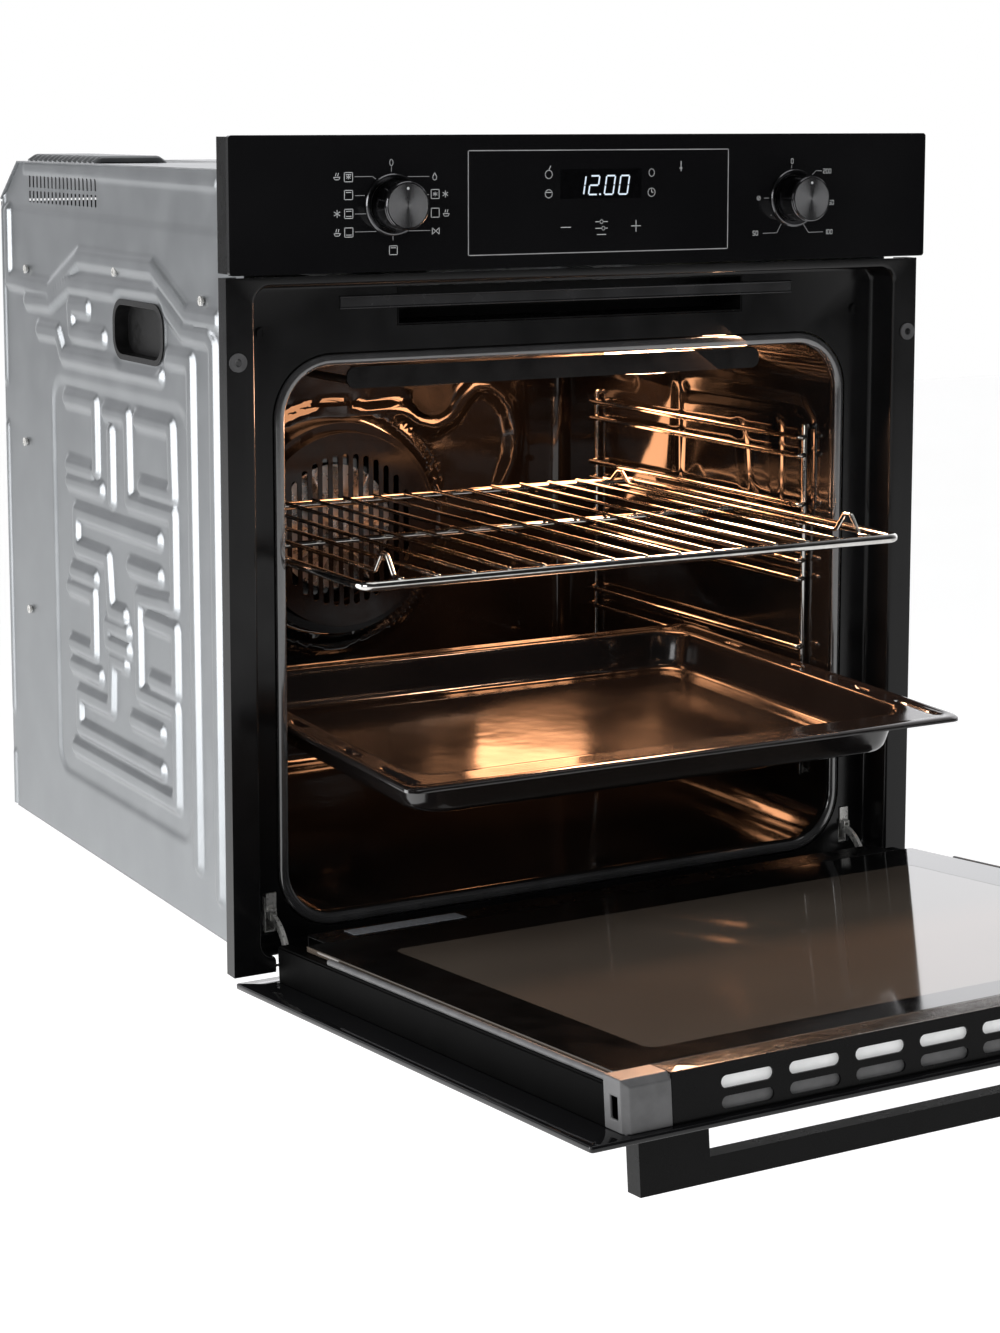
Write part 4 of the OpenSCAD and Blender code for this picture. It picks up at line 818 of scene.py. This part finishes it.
def pane(x0, x1, y0, y1, z0, z1, r, round_edge=0.8):
    """A plate of glass with rounded corners and ground, rounded edges."""
    rows = []
    for inset, y in ((20, y0), (round_edge, y0), (round_edge * 0.3, y0 + round_edge * 0.3),
                     (0, y0 + round_edge), (0, y1 - round_edge), (round_edge * 0.3, y1 - round_edge * 0.3),
                     (round_edge, y1), (20, y1)):
        u, v = ring(x0 + inset, x1 - inset, z0 + inset, z1 - inset, max(r - inset, 0.05), 24, 18, 6)
        rows.append(np.stack([u, np.full_like(u, y), v], -1))
    count = rows[0].shape[0]
    ids = np.arange(count)
    return np.stack(rows), [grid_faces(8, count, close_columns=True), ids[None, ::-1], ids[None] + 7 * count]


coated_glass = surface("coated_glass", (0.075, 0.060, 0.048), (0.095, 0.078, 0.063), 5.0, (0.03, 0.06),
                       IOR=2.6)
border_print = surface("border_print", (0.003, 0.003, 0.003), (0.006, 0.006, 0.006), 40.0, (0.06, 0.1),
                       IOR=1.9)
clear_glass = surface("clear_glass", (0.75, 0.8, 0.78), (0.85, 0.88, 0.86), 8.0, (0.02, 0.05),
                      Transmission_Weight=1.0)
put("outer_pane", [opened(pane(-297.5, 297.5, -279, -275, -4, 487, 2.5, 0.9))], black_glass, "door",
    ["door_outer_glass"], sharp=50)
put("inner_pane", [opened(pane(-264.5, 264.5, -248.5, -244.5, 46, 459, 3))], coated_glass, "door",
    ["door_inner_glass"], sharp=50)
rows = []
for (x0, x1, z0, z1, r), y in (((-264, 264, 46.5, 458.5, 3), -244.49),
                               ((-264, 264, 46.5, 458.5, 3), -244.44), ((-222, 222, 98, 430, 9), -244.44),
                               ((-222, 222, 98, 430, 9), -244.49)):
    u, v = ring(x0, x1, z0, z1, r, 24, 18, 8)
    rows.append(np.stack([u, np.full_like(u, y), v], -1))
rows = np.stack(rows)
border_faces = grid_faces(4, rows.shape[1], close_rows=True, close_columns=True)
put("inner_pane_border", [opened((rows, [border_faces]))], border_print, "door")
coat(clear_glass, "door_middle_glass")

# ---- Door: frame, trim, caps and handle ----
# Folded steel columns and trims painted black, half-round strips and moulded end caps in grey, a pale
# strip behind the upper air slots that glows as painted light, a grey one behind the lower slots as painted
# shade, and a flat black handle on two wide posts.
matt_black = surface("matt_black", (0.001, 0.001, 0.001), (0.002, 0.002, 0.002), 60.0, (0.4, 0.5), 0.02,
                     1500.0, Specular_IOR_Level=0.02)
foil = surface("blank_foil", (0.22, 0.235, 0.26), (0.42, 0.45, 0.49), 420.0, (0.3, 0.45), Metallic=0.4)
coat(foil, "door_label")
grey_moulding = surface("grey_moulding", (0.085, 0.085, 0.087), (0.115, 0.115, 0.118), 100.0, (0.36, 0.46),
                        0.1, 2200.0, depth=0.0001)
satin_trim = surface("satin_trim", (0.10, 0.09, 0.08), (0.13, 0.118, 0.105), 60.0, (0.22, 0.28), 0.02,
                     1500.0, Metallic=0.35)
# The pale strip glows though it is no lamp: painted light seen through the upper slots. The grey strip is a
# shaded copy of it for the lower slots: painted shade.
painted_slot_light = surface("painted_slot_light", (0.66, 0.67, 0.67), (0.78, 0.79, 0.79), 90.0, (0.5, 0.65),
                     Emission_Color=(1, 1, 1, 1), Emission_Strength=0.22)
painted_slot_shade = surface("painted_slot_shade", (0.12, 0.12, 0.122), (0.17, 0.17, 0.172), 90.0, (0.5, 0.65))
put("slot_strip_painted_light", [opened(block(-215, 215, -261.5, -249, 477.4, 478.6))], painted_slot_light, "door")
put("slot_strip_painted_shade", [opened(block(-215, 215, -273, -262.5, 477.4, 478.6))], painted_slot_shade, "door")
put("trim_face", [opened(pane(-239.8, 239.8, -244.49, -244.3, 460, 481, 0.5, 0.06))], satin_trim, "door")
for name, finish, width, slot in (
        ("door_columns", matt_black, 0.5, "black_metal"), ("door_vent_trim", black_paint, 1.2,
                                                           "black_metal"),
        ("door_bottom_rail", black_paint, 0.6, "black_metal"),
                                  ("door_corner_caps", grey_moulding, 0.9, "grey_plastic"),
        ("door_handle", black_paint, 1.0, "black_metal")):
    eased(name, finish, width, "door", segments=3)
coat(grey_moulding, "door_side_strips")
coat(plated, "handle_screws", "hinge_pins")
lamp("door_glow", (0.12, -0.20, 0.39), (-0.15, -0.72, 0.03), 0.12, 3.4, (1.0, 0.56, 0.34))

# ---- Hinges ----
# Zinc-plated pressed steel: receivers behind the frame hold the curved arms, and the arms turn in channels
# at the foot of the door; a flip-over clip sits on each arm and locks it when the door is lifted off.
for name, body in (("hinge_receivers", "root"), ("hinge_arms", "root"), ("hinge_channels", "door"),
                   ("left_hinge_latch", "left_latch"), ("right_hinge_latch", "right_latch")):
    eased(name, plated, 0.25, body)

{"cad": [list(corner) for corner in cad_box], "visual": [list(corner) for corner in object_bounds()]}
